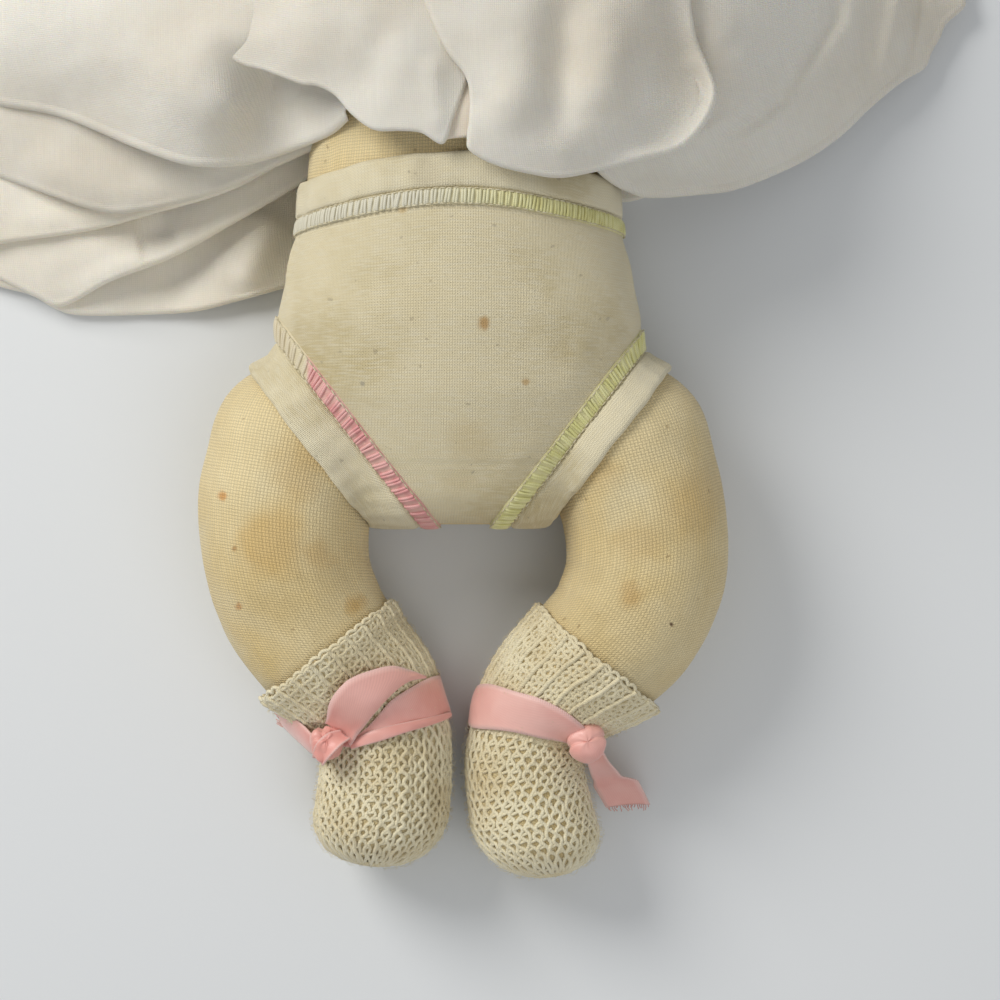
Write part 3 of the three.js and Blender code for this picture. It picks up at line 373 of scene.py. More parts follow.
def turns(count):
    """Evenly spaced angles all the way round."""
    return np.arange(count) / count * TURN


def looped(ring, more=2):
    """A ring of points that runs over its own start, for a strand that closes."""
    return np.concatenate([ring, ring[:more]])


def quad_places(rows, columns):
    i, j = np.meshgrid(np.arange(rows), np.arange(columns), indexing="ij")
    return i.ravel(), j.ravel()


def grid_faces(rows, columns, closed=False, flip=False, first=0):
    i, j = quad_places(rows - 1, columns if closed else columns - 1)
    k = (j + 1) % columns
    row, after = i * columns + first, (i + 1) * columns + first
    quads = np.stack([row + j, row + k, after + k, after + j], 1)
    return quads[:, ::-1] if flip else quads


def grid_corners(u, v, flip=False):
    """UVs of each quad's corners, from u and v at the grid's points. A closed grid's have one column more."""
    i, j = quad_places(u.shape[0] - 1, u.shape[1] - 1)
    uv = np.stack([u, v], 2)
    out = np.stack([uv[i, j], uv[i, j + 1], uv[i + 1, j + 1], uv[i + 1, j]], 1)
    return (out[:, ::-1] if flip else out).reshape(-1, 2)


def grid_piece(name, grid, material, closed=False, flip=False, ends=False, thick=0.0):
    """A piece from rows of points. ends closes both ends of a closed grid with a fan."""
    rows, columns = grid.shape[:2]
    ring = np.concatenate([grid, grid[:, :1]], 1) if closed else grid
    mean_u = np.mean([lengths(r) for r in ring], axis=0)
    v = np.stack([lengths(ring[:, j]) for j in range(ring.shape[1])], 1)
    faces = grid_faces(rows, columns, closed, flip).tolist()
    corners = grid_corners(np.tile(mean_u, (rows, 1)), v, flip).tolist()
    points = grid.reshape(-1, 3)
    if ends:
        points = np.concatenate([points, grid[:1].mean(1), grid[-1:].mean(1)])
        low, high, last = rows * columns, rows * columns + 1, (rows - 1) * columns
        for j in range(columns):
            k = (j + 1) % columns
            pairs = ((low, k, j), (high, last + j, last + k))
            faces += [(a, c, b) if flip else (a, b, c) for a, b, c in pairs]
            corners += [[mean_u[j], 0]] * 3 + [[mean_u[j], v[-1, j]]] * 3
    piece = link(name, make_mesh(name, points, faces, corners), material)
    if thick:
        thicken(piece, thick)
    return piece


def tubes(name, paths, radius, material, sides=6, taper=None, flat=1.0):
    """Strands along paths, each an array of points, as one piece. radius is a number or one for each path."""
    points, faces, corners = [], [], []
    total = 0
    angle = np.arange(sides + 1) / sides * TURN
    radii = np.broadcast_to(radius, len(paths))
    for path, r in zip(paths, radii):
        path = np.asarray(path, float)
        tangent = unit(np.gradient(path, axis=0))
        side = np.cross(tangent, UP)
        weak = np.linalg.norm(side, axis=1) < 1e-3
        side[weak] = np.cross(tangent[weak], [0.3, 0.9, 0.2])
        side = unit(side)
        over = np.cross(side, tangent)
        size = np.full(len(path), r)
        if taper:
            steps = np.arange(len(path))
            size = size * np.clip(np.minimum(steps, steps[::-1]) / taper + 0.25, 0, 1)
        out, up = (part(angle[:-1])[None, :, None] * size[:, None, None] for part in (np.cos, np.sin))
        ring = path[:, None] + side[:, None] * out + over[:, None] * up * flat
        points.append(ring.reshape(-1, 3))
        faces.append(grid_faces(len(path), sides, True, first=total))
        corners.append(grid_corners(*np.meshgrid(angle * r, lengths(path))))
        total += ring.shape[0] * sides
    points, faces, corners = (np.concatenate(rows) for rows in (points, faces, corners))
    return link(name, make_mesh(name, points, faces, corners), material)


def smooth_path(points, count):
    """A smooth curve through points, evenly spaced."""
    points = np.asarray(points, float)
    dense = []
    padded = np.concatenate([[2 * points[0] - points[1]], points, [2 * points[-1] - points[-2]]])
    t = np.linspace(0, 1, 24, endpoint=False)[:, None]
    for i in range(1, len(padded) - 2):
        a, b, c, d = padded[i - 1:i + 3]
        square, cube = (2 * a - 5 * b + 4 * c - d) * t ** 2, (3 * b - a - 3 * c + d) * t ** 3
        dense.append(0.5 * (2 * b + (c - a) * t + square + cube))
    dense = np.concatenate(dense + [padded[-2:-1]])
    return even_row(dense, count)


def even_row(row, count, first=0.0, last=None):
    """A row of points spaced anew, between two distances along it."""
    run = lengths(row)
    even = np.linspace(first, run[-1] if last is None else last, count)
    return np.stack([np.interp(even, run, row[:, k]) for k in range(row.shape[1])], 1)


def lumps(points, scale, seed=0.0):
    """Smooth noise from -1 to 1 at points in millimetres."""
    shift = np.array([seed, -seed, 2 * seed])
    return np.array([noise.noise(Vector(p)) for p in points / scale + shift])


def smoothstep(x, low, high):
    t = np.clip((x - low) / (high - low), 0, 1)
    return t * t * (3 - 2 * t)


def between(table, row, column):
    """Points of a table between its rows, and between its columns, which go all the way round."""
    rows, columns = table.shape[:2]
    r, c = np.minimum(np.floor(row).astype(int), rows - 2), np.floor(column).astype(int)
    down, over = (row - r)[..., None], (column - c)[..., None]
    near, far = c % columns, (c + 1) % columns
    first = table[r, near] * (1 - over) + table[r, far] * over
    second = table[r + 1, near] * (1 - over) + table[r + 1, far] * over
    return first * (1 - down) + second * down


def lift(points, floor, give=0.1):
    """Keep points above the table, pressed flatter where they would go through it."""
    points[..., 2] = np.maximum(points[..., 2], floor + give * np.maximum(points[..., 2], 0))
    return points


# Stuffed body: height along Y, half width, back and front height at each section
TORSO = np.array([
    (-45.2, 19, 15.5, 27), (-43.6, 22, 10, 32), (-39.5, 25, 6, 37), (-28, 33, 2.4, 42.5),
    (-15, 39.6, 1.2, 47.5), (2, 40.2, 1.2, 51), (22, 35.4, 1.2, 52.5), (44, 33.8, 1.2, 52),
    (64, 36.6, 1.2, 53), (80, 39, 1.2, 55), (92, 35, 6, 57), (99, 26, 11, 59),
    (103, 18.4, 17.6, 54.4), (107, 16.2, 19.8, 52.2),
])
TORSO_LOW, TORSO_HIGH = TORSO[0, 0], TORSO[-1, 0]
SECTION_STEPS, SECTION_SOFTENING, SECTION_END = 400, 21, 3
# Leg paths from the hip to the ball of the foot, with the radius at each station
LEGS = {
    "left": [(38, -27, 19.5), (42.3, -42, 18.8), (42.6, -56, 18.4), (37.8, -67.5, 17.6), (30.6, -75.5, 16.6),
             (22.6, -82.2, 14.9), (16.4, -90.5, 12.8), (14.8, -101, 12.7), (16.6, -113, 13.3)],
    "right": [(-38, -27, 19.5), (-40.4, -42, 19.6), (-39.2, -56, 18.9), (-34.4, -67.5, 17.9), (-28, -76, 16.8),
              (-21, -83.5, 15), (-17.4, -92, 13.9), (-17.2, -102, 14.1), (-18, -110, 14.3)],
}
HIP_Z = 21.0
TOE, TOE_SQUARENESS, TOE_LEAN = 13.0, 2.7, {"left": 3.0, "right": -1.6}
TABLE_SIDE = 1.4
LEG_FACET = math.pi / 12


def torso_sections(y):
    """Half width, back and front height of the stuffed body along Y, rounded between its sections."""
    fine = np.linspace(TORSO_LOW, TORSO_HIGH, SECTION_STEPS)
    kernel = np.hanning(SECTION_SOFTENING)
    ends = np.minimum(smoothstep(fine, TORSO_LOW, TORSO_LOW + SECTION_END),
                      smoothstep(-fine, -TORSO_HIGH, SECTION_END - TORSO_HIGH))
    out = []
    for k in (1, 2, 3):
        level = np.interp(fine, TORSO[:, 0], TORSO[:, k])
        soft = np.convolve(np.pad(level, SECTION_SOFTENING // 2, mode="edge"), kernel / kernel.sum(), "valid")
        out.append(np.interp(np.asarray(y, float), fine, level + (soft - level) * ends))
    return out


def torso_distance(p):
    """Rough distance from points to the stuffed body's skin, negative inside."""
    half, back, front = torso_sections(np.clip(p[:, 1], TORSO_LOW, TORSO_HIGH))
    middle, tall = (back + front) / 2, (front - back) / 2
    x, z = p[:, 0] / half, (p[:, 2] - middle) / tall
    reach = np.sqrt(x * x + z * z)
    slope = np.sqrt((x / half) ** 2 + (z / tall) ** 2) / np.maximum(reach, 1e-6)
    past = np.maximum(TORSO_LOW - p[:, 1], 0) + np.maximum(p[:, 1] - TORSO_HIGH, 0)
    return (reach - 1) / np.maximum(slope, 1e-6) + past


def aside(tangent):
    """The level direction to the left of a path."""
    return np.array([-tangent[1], tangent[0], 0.0])


class Leg:
    """A leg's smooth path with its radius, from the rounded hip to the toe."""

    def __init__(self, side):
        stations = np.array(LEGS[side])
        path = smooth_path(np.insert(stations, 2, 0, axis=1), 240)
        self.radius = path[:, 3]
        down = smoothstep(-path[:, 1], 27, 67)
        lying = self.radius * math.cos(LEG_FACET) + TABLE_SIDE
        self.centre = np.column_stack([path[:, :2], HIP_Z + (lying - HIP_Z) * down])
        self.tangent = unit(np.gradient(self.centre * [1, 1, 0], axis=0))
        self.run = lengths(self.centre)
        self.length = self.run[-1]
        self.lean = TOE_LEAN[side]

    def at(self, t):
        """Centre, tangent and radius at a share of the path."""
        place = np.clip(t, 0, 1) * self.length
        rows = np.column_stack([self.centre, self.tangent, self.radius])
        found = np.array([np.interp(place, self.run, row) for row in rows.T])
        return found[:3], found[3:6] / np.linalg.norm(found[3:6]), found[6]

    def ring(self, distance, angles):
        """Points round the leg at a distance along it: below 0 the hip's dome, past its end the toe."""
        centre, tangent, radius = self.at(distance / self.length)
        if distance < 0:
            swing = math.asin(max(-1.0, distance / radius))
            centre, radius = centre + tangent * radius * math.sin(swing), radius * math.cos(swing)
        elif distance > self.length:
            share = min((distance - self.length) / TOE, 1.0)
            centre = centre + tangent * TOE * share + aside(tangent) * self.lean * share
            radius = radius * max(1 - share ** TOE_SQUARENESS, 0.0) ** 0.5
            centre[2] += (TABLE_SIDE + radius - centre[2]) * share * 0.25
        return centre + radius * (np.cos(angles)[:, None] * aside(tangent) + np.sin(angles)[:, None] * UP)

    def distance(self, p):
        """Rough distance from points to the leg's skin, negative inside."""
        best = np.full(len(p), 1e9)
        for i in range(0, len(self.centre), 4):
            best = np.minimum(best, np.linalg.norm(p - self.centre[i], axis=1) - self.radius[i])
        return best


legs = {side: Leg(side) for side in LEGS}


def body_distance(p, soft=5.0):
    """Distance to body and legs together, with the cloth bridging the hollows between them."""
    d = torso_distance(p)
    for leg in legs.values():
        e = leg.distance(p)
        h = np.clip(0.5 + 0.5 * (e - d) / soft, 0, 1)
        d = e + (d - e) * h - soft * h * (1 - h)
    return d


def cast(origins, directions, offset, lowest_y=None, reach=75.0):
    """Where rays from inside the body cross its skin grown by an offset, or a rounded edge at lowest_y."""
    low, high = np.zeros(len(origins)), np.full(len(origins), reach)
    for _ in range(26):
        middle = (low + high) / 2
        places = origins + directions * middle[:, None]
        d = body_distance(places)
        if lowest_y is not None:
            d = np.logaddexp(d * 0.9, (lowest_y - places[:, 1]) * 0.9) / 0.9
        low, high = np.where(d < offset, middle, low), np.where(d < offset, high, middle)
    return origins + directions * low[:, None]


# Stains and patches, each as it shows in the photograph: pixel, height, radius in millimetres, strength and
# colour
STAINS = {
    "right_leg": [(225, 496, 30, 1.7, 0.75, (214, 146, 62)), (300, 470, 38, 9, 0.4, (206, 166, 92)),
                  (270, 540, 38, 11, 0.45, (212, 168, 84)), (355, 605, 34, 3.2, 0.55, (206, 160, 74)),
                  (240, 606, 30, 1.2, 0.6, (186, 122, 52)), (318, 556, 38, 5, 0.3, (208, 162, 82)),
                  (238, 548, 30, 0.9, 0.6, (170, 120, 60)), (262, 660, 20, 7, 0.35, (214, 178, 84))],
    "left_leg": [(630, 595, 36, 4.2, 0.4, (196, 148, 72)), (690, 500, 30, 12, 0.3, (206, 166, 96)),
                 (600, 470, 36, 6, 0.3, (210, 172, 104)), (668, 622, 24, 0.6, 0.9, (92, 64, 40)),
                 (640, 540, 38, 8, 0.25, (200, 160, 92))],
    "underpants": [(484, 323, 52, 2.0, 0.75, (186, 140, 74)), (526, 381, 50, 1.2, 0.6, (196, 154, 88)),
                   (402, 208, 52, 1.6, 0.55, (200, 166, 104)), (362, 383, 48, 0.8, 0.6, (150, 146, 134)),
                   (470, 440, 46, 7, 0.3, (206, 182, 128)), (420, 300, 52, 8, 0.18, (214, 196, 150)),
                   (455, 480, 44, 5, 0.3, (204, 184, 136)), (340, 260, 50, 5, 0.15, (210, 196, 150)),
                   (560, 350, 50, 4, 0.2, (206, 186, 138))],
    # The two on the bands are greyish darker patches, each just below an edge of the gown
    "bands": [(425, 170, 52, 5, 0.4, (196, 184, 156)), (560, 175, 50, 6, 0.3, (204, 190, 150))],
}
# Soft folds of the cloth: from, to, height and half width, in millimetres; those of a leg for the doll's left
LEG_FOLDS = [((46, -22, 34), (30, -44, 36), 0.5, 2.2), ((30, -50, 37), (22, -62, 26), -0.55, 2.0),
             ((36, -60, 38), (20, -70, 22), 0.45, 3.0), ((24, -60, 20), (40, -72, 34), -0.4, 2.4),
             ((52, -60, 30), (40, -80, 26), 0.35, 4.0)]
PANTS_FOLDS = [((-38, 20, 30), (-39, 8, 34), 0.9, 1.6), ((-36.5, 24, 36), (-38, 12, 40), -0.6, 1.4),
               ((38, 18, 30), (39, 6, 33), 0.7, 1.5), ((-30, 2, 46), (-22, -14, 46), 0.35, 3.0),
               ((30, 0, 46), (24, -16, 45), 0.35, 3.0), ((-20, -26, 42), (-6, -36, 40), 0.25, 2.4),
               ((18, -24, 42), (8, -36, 40), 0.25, 2.4), ((-12, -40, 37), (12, -41, 37), -0.35, 2.0)]


def wrinkle(points, normals, folds, sign=1):
    """Push points along their normals over soft folds."""
    out = points.copy()
    for start, end, high, wide in folds:
        a, b = start * np.array([sign, 1, 1]), end * np.array([sign, 1, 1])
        along = b - a
        t = np.clip(((points - a) @ along) / (along @ along), 0, 1)
        gap = np.linalg.norm(points - (a + t[:, None] * along), axis=1)
        ends = np.sqrt(np.clip(1 - (2 * t - 1) ** 2, 0.05, 1))
        out += normals * (high * ends * np.exp(-((gap / wide) ** 2)))[:, None]
    return out


def stuffed(name, rings, material):
    piece = grid_piece(name, rings, material, closed=True, ends=True, flip=True)
    dress(piece, name, "muslin", name + "_cover", name + "_stuffing")


def make_leg(side, sign):
    leg = legs[side]
    hip = -leg.radius[0] * np.cos(np.linspace(0.06, math.pi / 2, 14))
    toe = leg.length + TOE * np.sin(np.linspace(0.1, math.pi / 2 - 0.05, 12))
    stations = np.concatenate([hip, np.linspace(0, leg.length, 104)[1:], toe])
    rings = np.array([leg.ring(s, turns(72)) for s in stations])
    outward = unit(rings - rings.mean(1, keepdims=True), 1e-6).reshape(-1, 3)
    flat = rings.reshape(-1, 3)
    soft = lumps(flat, 17.0, 3.0 * sign) * 0.55 + lumps(flat, 7.0, 9.0 * sign) * 0.16
    flat = wrinkle(flat + outward * soft[:, None], outward, LEG_FOLDS, sign)
    lowest = TABLE_SIDE - 0.1
    flat[:, 2] = np.maximum(flat[:, 2], lowest + 0.25 * (flat[:, 2] - lowest))
    material = muslin_material(side + "_leg_muslin", STAINS[side + "_leg"])
    stuffed(side + "_leg", flat.reshape(rings.shape), material)


def make_torso():
    angles = turns(96)
    heights = np.linspace(-44.6, TORSO_HIGH, 130)
    half, back, front = torso_sections(heights)
    middle, tall = (back + front) / 2, (front - back) / 2
    rings = np.stack([np.outer(half, np.cos(angles)), np.tile(heights[:, None], 96),
                      middle[:, None] + np.outer(tall, np.sin(angles))], 2)
    flat = rings.reshape(-1, 3)
    out = unit((rings - np.stack([middle * 0, heights, middle], 1)[:, None]).reshape(-1, 3))
    flat = flat + out * (lumps(flat, 19.0, 5.0) * 0.5 - 0.25)[:, None]
    # Gathers under the drawstring
    near = smoothstep(flat[:, 1], 88, 104)
    turn = np.arctan2(flat[:, 2] - NECK_Z, flat[:, 0])
    flat = flat + out * (near * 0.55 * np.sin(turn * 26))[:, None]
    flat[:, 2] = np.maximum(flat[:, 2], TABLE_SIDE - 0.1)
    # Room for the balls of the limbs, which the cloth gives way to
    for place, r in (((38, -27, HIP_Z), 20.0), (SHOULDER, 14.6)):
        for sign in (1, -1):
            gap = np.linalg.norm(flat - np.array(place) * [sign, 1, 1], axis=1)
            flat[:, 0] -= sign * np.clip(r - gap, 0, 3.0)
    stuffed("torso", flat.reshape(rings.shape), muslin_material("muslin"))


# Shoulders, arms, yoke and neck
SHOULDER, WRIST = np.array([41, 87, 25.0]), np.array([93, 127, 10.5])
SHOULDER_RADIUS, WRIST_RADIUS, SHOULDER_ROOM = 13.0, 7.2, 15.6
YOKE_LOW, YOKE_HIGH, NECK_Z = 66.4, 101.0, 36.0
SLEEVE_PUFF, CUFF = 2.6, 5.0

make_torso()
for side, sign in SIDES.items():
    make_leg(side, sign)


# Underpants: edges of their bands, in millimetres
WAIST_Y, WAIST_DROP, WAISTBAND = 36.6, 4.8, 7.6
SEAM = 3.6
LEG_BAND = {"left": 6.9, "right": 8.8}
CROTCH_Y = -43.6
EDGE_OUTER, EDGE_INNER = np.array([48.5, -8.4, 0.0]), np.array([20.6, -44.4, 0.0])
SIDE_Y, BELLY_Z, SEAT_Z = -3.5, 24.0, 21.5
CLOTH = GAP + KNIT
PANEL_COLUMNS = 130
JERSEY = jersey_material("jersey", STAINS["underpants"], (230, 217, 180))
BAND_JERSEY = jersey_material("band_jersey", STAINS["bands"], (236, 225, 192))


class Patch:
    """A strip of the dressed body's skin: rows across it at given distances, columns round it."""

    def __init__(self, origins, directions, depths):
        hit = cast(origins.reshape(-1, 3), directions.reshape(-1, 3), CLOTH, CROTCH_Y)
        self.points = hit.reshape(origins.shape)
        self.depths = depths
        ring = np.concatenate([self.points[:, -1:], self.points, self.points[:, :1]], 1)
        normal = unit(np.cross(ring[:, 2:] - ring[:, :-2], np.gradient(self.points, axis=0)))
        facing = np.sign((normal * directions).sum(2, keepdims=True))
        self.normals = normal * np.where(facing == 0, 1, facing)
        self.run = lengths(looped(self.points[len(depths) // 2], 1))
        self.length = self.run[-1]

    def at(self, s, d, h):
        """Points at distance s round the strip, d across it and h above the skin; arrays of one shape."""
        s, d, h = np.broadcast_arrays(*(np.asarray(a, float) for a in (s, d, h)))
        column = np.interp(np.mod(s, self.length), self.run, np.arange(len(self.run)))
        row = np.interp(d, self.depths, np.arange(len(self.depths)))
        normal = unit(between(self.normals, row, column))
        return lift(between(self.points, row, column) + normal * h[..., None], 0.4)


def waist_patch():
    depths = np.linspace(-1.5, 15, 24)
    turn, deep = np.meshgrid(turns(240), depths)
    origins = np.stack([turn * 0, WAIST_Y - WAIST_DROP * np.cos(turn) ** 2 - deep, turn * 0 + BELLY_Z], 2)
    return Patch(origins, np.stack([np.cos(turn), turn * 0, np.sin(turn)], 2), depths)


def leg_patch(sign):
    """Round a leg opening: depth runs from the free edge towards the middle of the body."""
    along = unit(EDGE_INNER - EDGE_OUTER)
    inward = -aside(along)
    middle = (EDGE_OUTER + EDGE_INNER) / 2 + UP * HIP_Z
    depths = np.linspace(-1.5, 14, 22)
    turn, deep = np.meshgrid(turns(220), depths)
    directions = along * np.cos(turn)[..., None] + UP * np.sin(turn)[..., None]
    flip = np.array([sign, 1, 1])
    return Patch((middle + inward * deep[..., None]) * flip, directions * flip, depths)


def hem_band(name, patch, width, wave=0.2, seed=0.0):
    """A folded band of knit over the strip's first millimetres, thick and rounded at both edges."""
    count = int(patch.length / 1.1)
    s = np.arange(count) / count * patch.length
    turn = s / patch.length * TURN
    profile = [(0.35, -0.9), (-0.05, -0.5), (-0.22, 0.05), (0.05, 0.55), (0.7, 0.82), (width * 0.3, 0.9),
               (width * 0.6, 0.88), (width - 0.9, 0.8), (width - 0.3, 0.5), (width, 0.1), (width + 0.1, -0.3)]
    rows = []
    for i, (d, h) in enumerate(profile):
        wobble = wave * (np.sin(turn * 7 + seed) + 0.6 * np.sin(turn * 17 + 2 * seed))
        wobble = wobble * (0.5 if i > 6 else 1.0)
        puff = 0.12 * np.sin(turn * 29 + seed) + 0.1 * np.sin(turn * 13 + 3 * seed)
        rows.append(patch.at(s, d + wobble * 0.6, h + puff * (2 < i < 9)))
    return grid_piece(name, np.array(rows), BAND_JERSEY, closed=True)


def overlock(name, node, patch, start, threads, slot, pitch, seed):
    """Flat seam: pairs of thick rungs over a band of thread, between two fine rows of straight stitches."""
    local = np.random.default_rng(seed)
    count = int(patch.length / 0.8)
    s = np.arange(count) / count * patch.length
    profile = [(-0.1, -0.3), (0.1, 0.25), (0.5, 0.5), (SEAM * 0.35, 0.5), (SEAM * 0.65, 0.5),
               (SEAM - 0.5, 0.5), (SEAM - 0.1, 0.25), (SEAM + 0.1, -0.3)]
    rows = [patch.at(s, start + d, h + 0.05 * np.sin(s * 2.1 + 9 * d)) for d, h in profile]
    base = grid_piece(name + "_ground", np.array(rows), threads[1], closed=True)
    rungs, stitches = [], []
    t = np.linspace(0, 1, 9)
    for k in range(int(patch.length / pitch)):
        for twin in (0.0, 0.62):
            s = k * pitch + twin + local.normal(0, 0.06)
            lean = 0.3 + local.normal(0, 0.14)
            high = 0.42 + 0.26 * np.sin(math.pi * t) ** 0.4 + local.normal(0, 0.03)
            across = start + 0.35 + (SEAM - 0.7) * t + local.normal(0, 0.08)
            rungs.append(patch.at(s + lean * t, across, high))
    ladder = tubes(name, rungs, 0.36, threads[0], flat=0.75)
    t = np.linspace(0, 1, 6)
    for side_line in (0.12, SEAM - 0.12):
        for k in range(int(patch.length / 1.5)):
            across = start + side_line + 0.06 * np.sin(k * 2.3)
            stitches.append(patch.at(k * 1.5 + 1.38 * t, across, 0.5 + 0.16 * np.sin(math.pi * t)))
    line = tubes(name + "_stitches", stitches, 0.17, FINE_THREAD, sides=5, taper=2)
    dress(base, "torso", slot, node)
    dress(ladder, "torso", slot)
    dress(line, "torso", slot)


def pants_half(face):
    """Rows of one face of the panel from the crotch to the waist, and each point's place across the knit."""
    line = np.linspace(0.004, math.pi - 0.004, 400)
    fine = np.linspace(0, math.pi, 400)
    fall = (EDGE_OUTER[0] - EDGE_INNER[0]) / (EDGE_OUTER[1] - EDGE_INNER[1])
    rows, across = [], []
    for y in np.linspace(CROTCH_Y + 0.3, SIDE_Y, 34):
        origins = np.tile([0, y, SEAT_Z if y < -38 else BELLY_Z], (400, 1))
        ring = cast(origins, np.stack([np.cos(line), line * 0, face * np.sin(line)], 1), CLOTH, CROTCH_Y)
        inside = lengths(ring)[np.abs(ring[:, 0]) <= EDGE_OUTER[0] - 2.2 + fall * (y - EDGE_OUTER[1])]
        rows.append(even_row(ring, PANEL_COLUMNS, inside[0], inside[-1]))
        across.append(np.linspace(inside[0], inside[-1], PANEL_COLUMNS))
    for share in np.linspace(0, 1, 28)[1:]:
        top = WAIST_Y - WAIST_DROP * np.cos(fine) ** 2 - 2.0
        origins = np.stack([fine * 0, SIDE_Y + (top - SIDE_Y) * share, fine * 0 + BELLY_Z], 1)
        ring = cast(origins, np.stack([np.cos(fine), fine * 0, face * np.sin(fine)], 1), CLOTH)
        rows.append(even_row(ring, PANEL_COLUMNS))
        across.append(np.linspace(0, lengths(ring)[-1], PANEL_COLUMNS))
    across = np.array(across)
    return np.array(rows), across - across.mean(1, keepdims=True)


def pants_panel():
    """The panel in one piece: up the front, under the crotch and up the back."""
    (front, front_u), (back, back_u) = pants_half(1), pants_half(-1)
    joined = []
    for share in np.linspace(0, 1, 9)[1:-1]:
        row = front[0] * (1 - share) + back[0] * share
        row[:, 1] -= 1.4 * math.sqrt(1 - (2 * share - 1) ** 2)
        joined.append(row)
    grid = np.concatenate([front[::-1], np.array(joined), back])
    u = np.concatenate([front_u[::-1], np.tile(front_u[0], (len(joined), 1)), back_u])
    v = np.tile(lengths(grid[:, PANEL_COLUMNS // 2])[:, None], PANEL_COLUMNS)
    flat = grid.reshape(-1, 3)
    out = unit((flat - [0, 0, BELLY_Z]) * [1, 0, 1])
    flat = flat + out * (lumps(flat, 15.0, 2.0) * 0.22)[:, None]
    flat = lift(wrinkle(flat, out, PANTS_FOLDS), 0.05)
    mesh = make_mesh("underpants", flat, grid_faces(*grid.shape[:2]), grid_corners(u, v))
    work = bmesh.new()
    work.from_mesh(mesh)
    bmesh.ops.remove_doubles(work, verts=work.verts, dist=0.06 * MM)
    bmesh.ops.recalc_face_normals(work, faces=work.faces)
    work.to_mesh(mesh)
    work.free()
    return link("underpants", mesh, JERSEY)


waist = waist_patch()
openings = {side: leg_patch(sign) for side, sign in SIDES.items()}
panel = dress(pants_panel(), "torso", "jersey", "underpants_panel")
dress(hem_band("waistband_fold", waist, WAISTBAND, wave=0.3, seed=1.3), "torso", "jersey", "waistband")

FINE_THREAD = thread_material("fine_thread", (228, 218, 186), (206, 194, 156))
# Where the thread of a seam turns pale, along x, and the threads of each seam: its rungs and its ground
WAIST_FADE, PINK_FADE = (-13, 24), (-34.2, -33.0)
SEAM_THREADS = {
    "waist": (thread_material("waist_thread", (236, 232, 170), (224, 218, 146), (226, 221, 200), WAIST_FADE),
              thread_material("waist_ground", (230, 224, 166), (218, 211, 148), (220, 212, 182), WAIST_FADE)),
    "right": (thread_material("pink_thread", (242, 186, 180), (234, 164, 162), (232, 220, 190), PINK_FADE),
              thread_material("pink_ground", (236, 190, 178), (226, 164, 158), (224, 212, 178), PINK_FADE)),
    "left": (thread_material("yellow_thread", (238, 234, 174), (228, 224, 152)),
             thread_material("yellow_ground", (232, 226, 172), (222, 216, 152))),
}
overlock("waist_seam", "waist_stitching", waist, WAISTBAND + 0.2, SEAM_THREADS["waist"], "yellow_stitch",
         1.6, 3)
LEG_SEAMS = (("left", "yellow_stitch", 1.9, 5, 2.1), ("right", "pink_stitch", 2.1, 8, 4.2))
for side, slot, pitch, seed, wave in LEG_SEAMS:
    overlock(side + "_leg_seam", side + "_leg_stitching", openings[side], LEG_BAND[side] + 0.2,
             SEAM_THREADS[side], slot, pitch, seed)
    hem = hem_band(side + "_leg_hem", openings[side], LEG_BAND[side], seed=wave)
    dress(hem, "torso", "jersey", side + "_leg_band")


# Socks: strands of soft yarn over the muslin, ribbed at the ankle and an open honeycomb on the foot
SOCK_TOP = {"left": 0.56, "right": 0.55}
RIBBON_AT = {"left": 0.79, "right": 0.77}
CUFF_RISE = {"left": 4.5, "right": 1.5}
CUFF_FLARE, CUFF_RIBS, RIB_STRANDS, TUCK = 1.5, 23, 4, 1.9
SOCK_TWIST = {"left": 0.15, "right": -0.5}
# Strands round the foot, length of a hole, sideways sway and strand size: the right sock is knitted closer
FOOT_KNIT = {"left": (66, 3.5, 0.36, 0.44), "right": (70, 2.7, 0.26, 0.42)}
FUZZ_COUNT = 2600
SKIN_COLUMNS = 96
YARN = yarn_material("sock_yarn", (246, 236, 202), (235, 221, 182), (214, 192, 142))
# Muslin a little darker than the leg's: the leg seen through the holes, with painted shade in them
SOCK_GROUND_SHADED = muslin_material("sock_ground_shaded", base=(226, 209, 164), dark=(212, 192, 142))


class Skin:
    """A leg's skin as a smooth table of points: distance along it, angle round it and height above it."""

    def __init__(self, leg, start, end, tie):
        self.leg, self.tie = leg, tie
        self.stations = np.linspace(start, end, 150)
        farthest = leg.length + TOE - 0.02
        rings = np.array([leg.ring(min(d, farthest), turns(SKIN_COLUMNS)) for d in self.stations])
        self.centres = rings.mean(1)
        tight = 1 - 0.05 * np.exp(-(((self.stations - tie) / 3.2) ** 2))
        self.rings = self.centres[:, None] + (rings - self.centres[:, None]) * tight[:, None, None]
        self.toe_way = leg.at(1)[1]

    def at(self, distance, angle, high):
        distance, angle, high = np.broadcast_arrays(*(np.asarray(a, float) for a in (distance, angle, high)))
        row = np.interp(distance, self.stations, np.arange(len(self.stations)))
        column = np.mod(angle, TURN) / TURN * SKIN_COLUMNS
        point = between(self.rings, row, column)
        away = unit(point - between(self.centres[:, None], row, column), 1e-6)
        tip = smoothstep(distance, self.leg.length + TOE * 0.55, self.leg.length + TOE)[..., None]
        out = unit(away * (1 - tip) + self.toe_way * tip, 1e-6)
        return lift(point + out * high[..., None], 0.45)


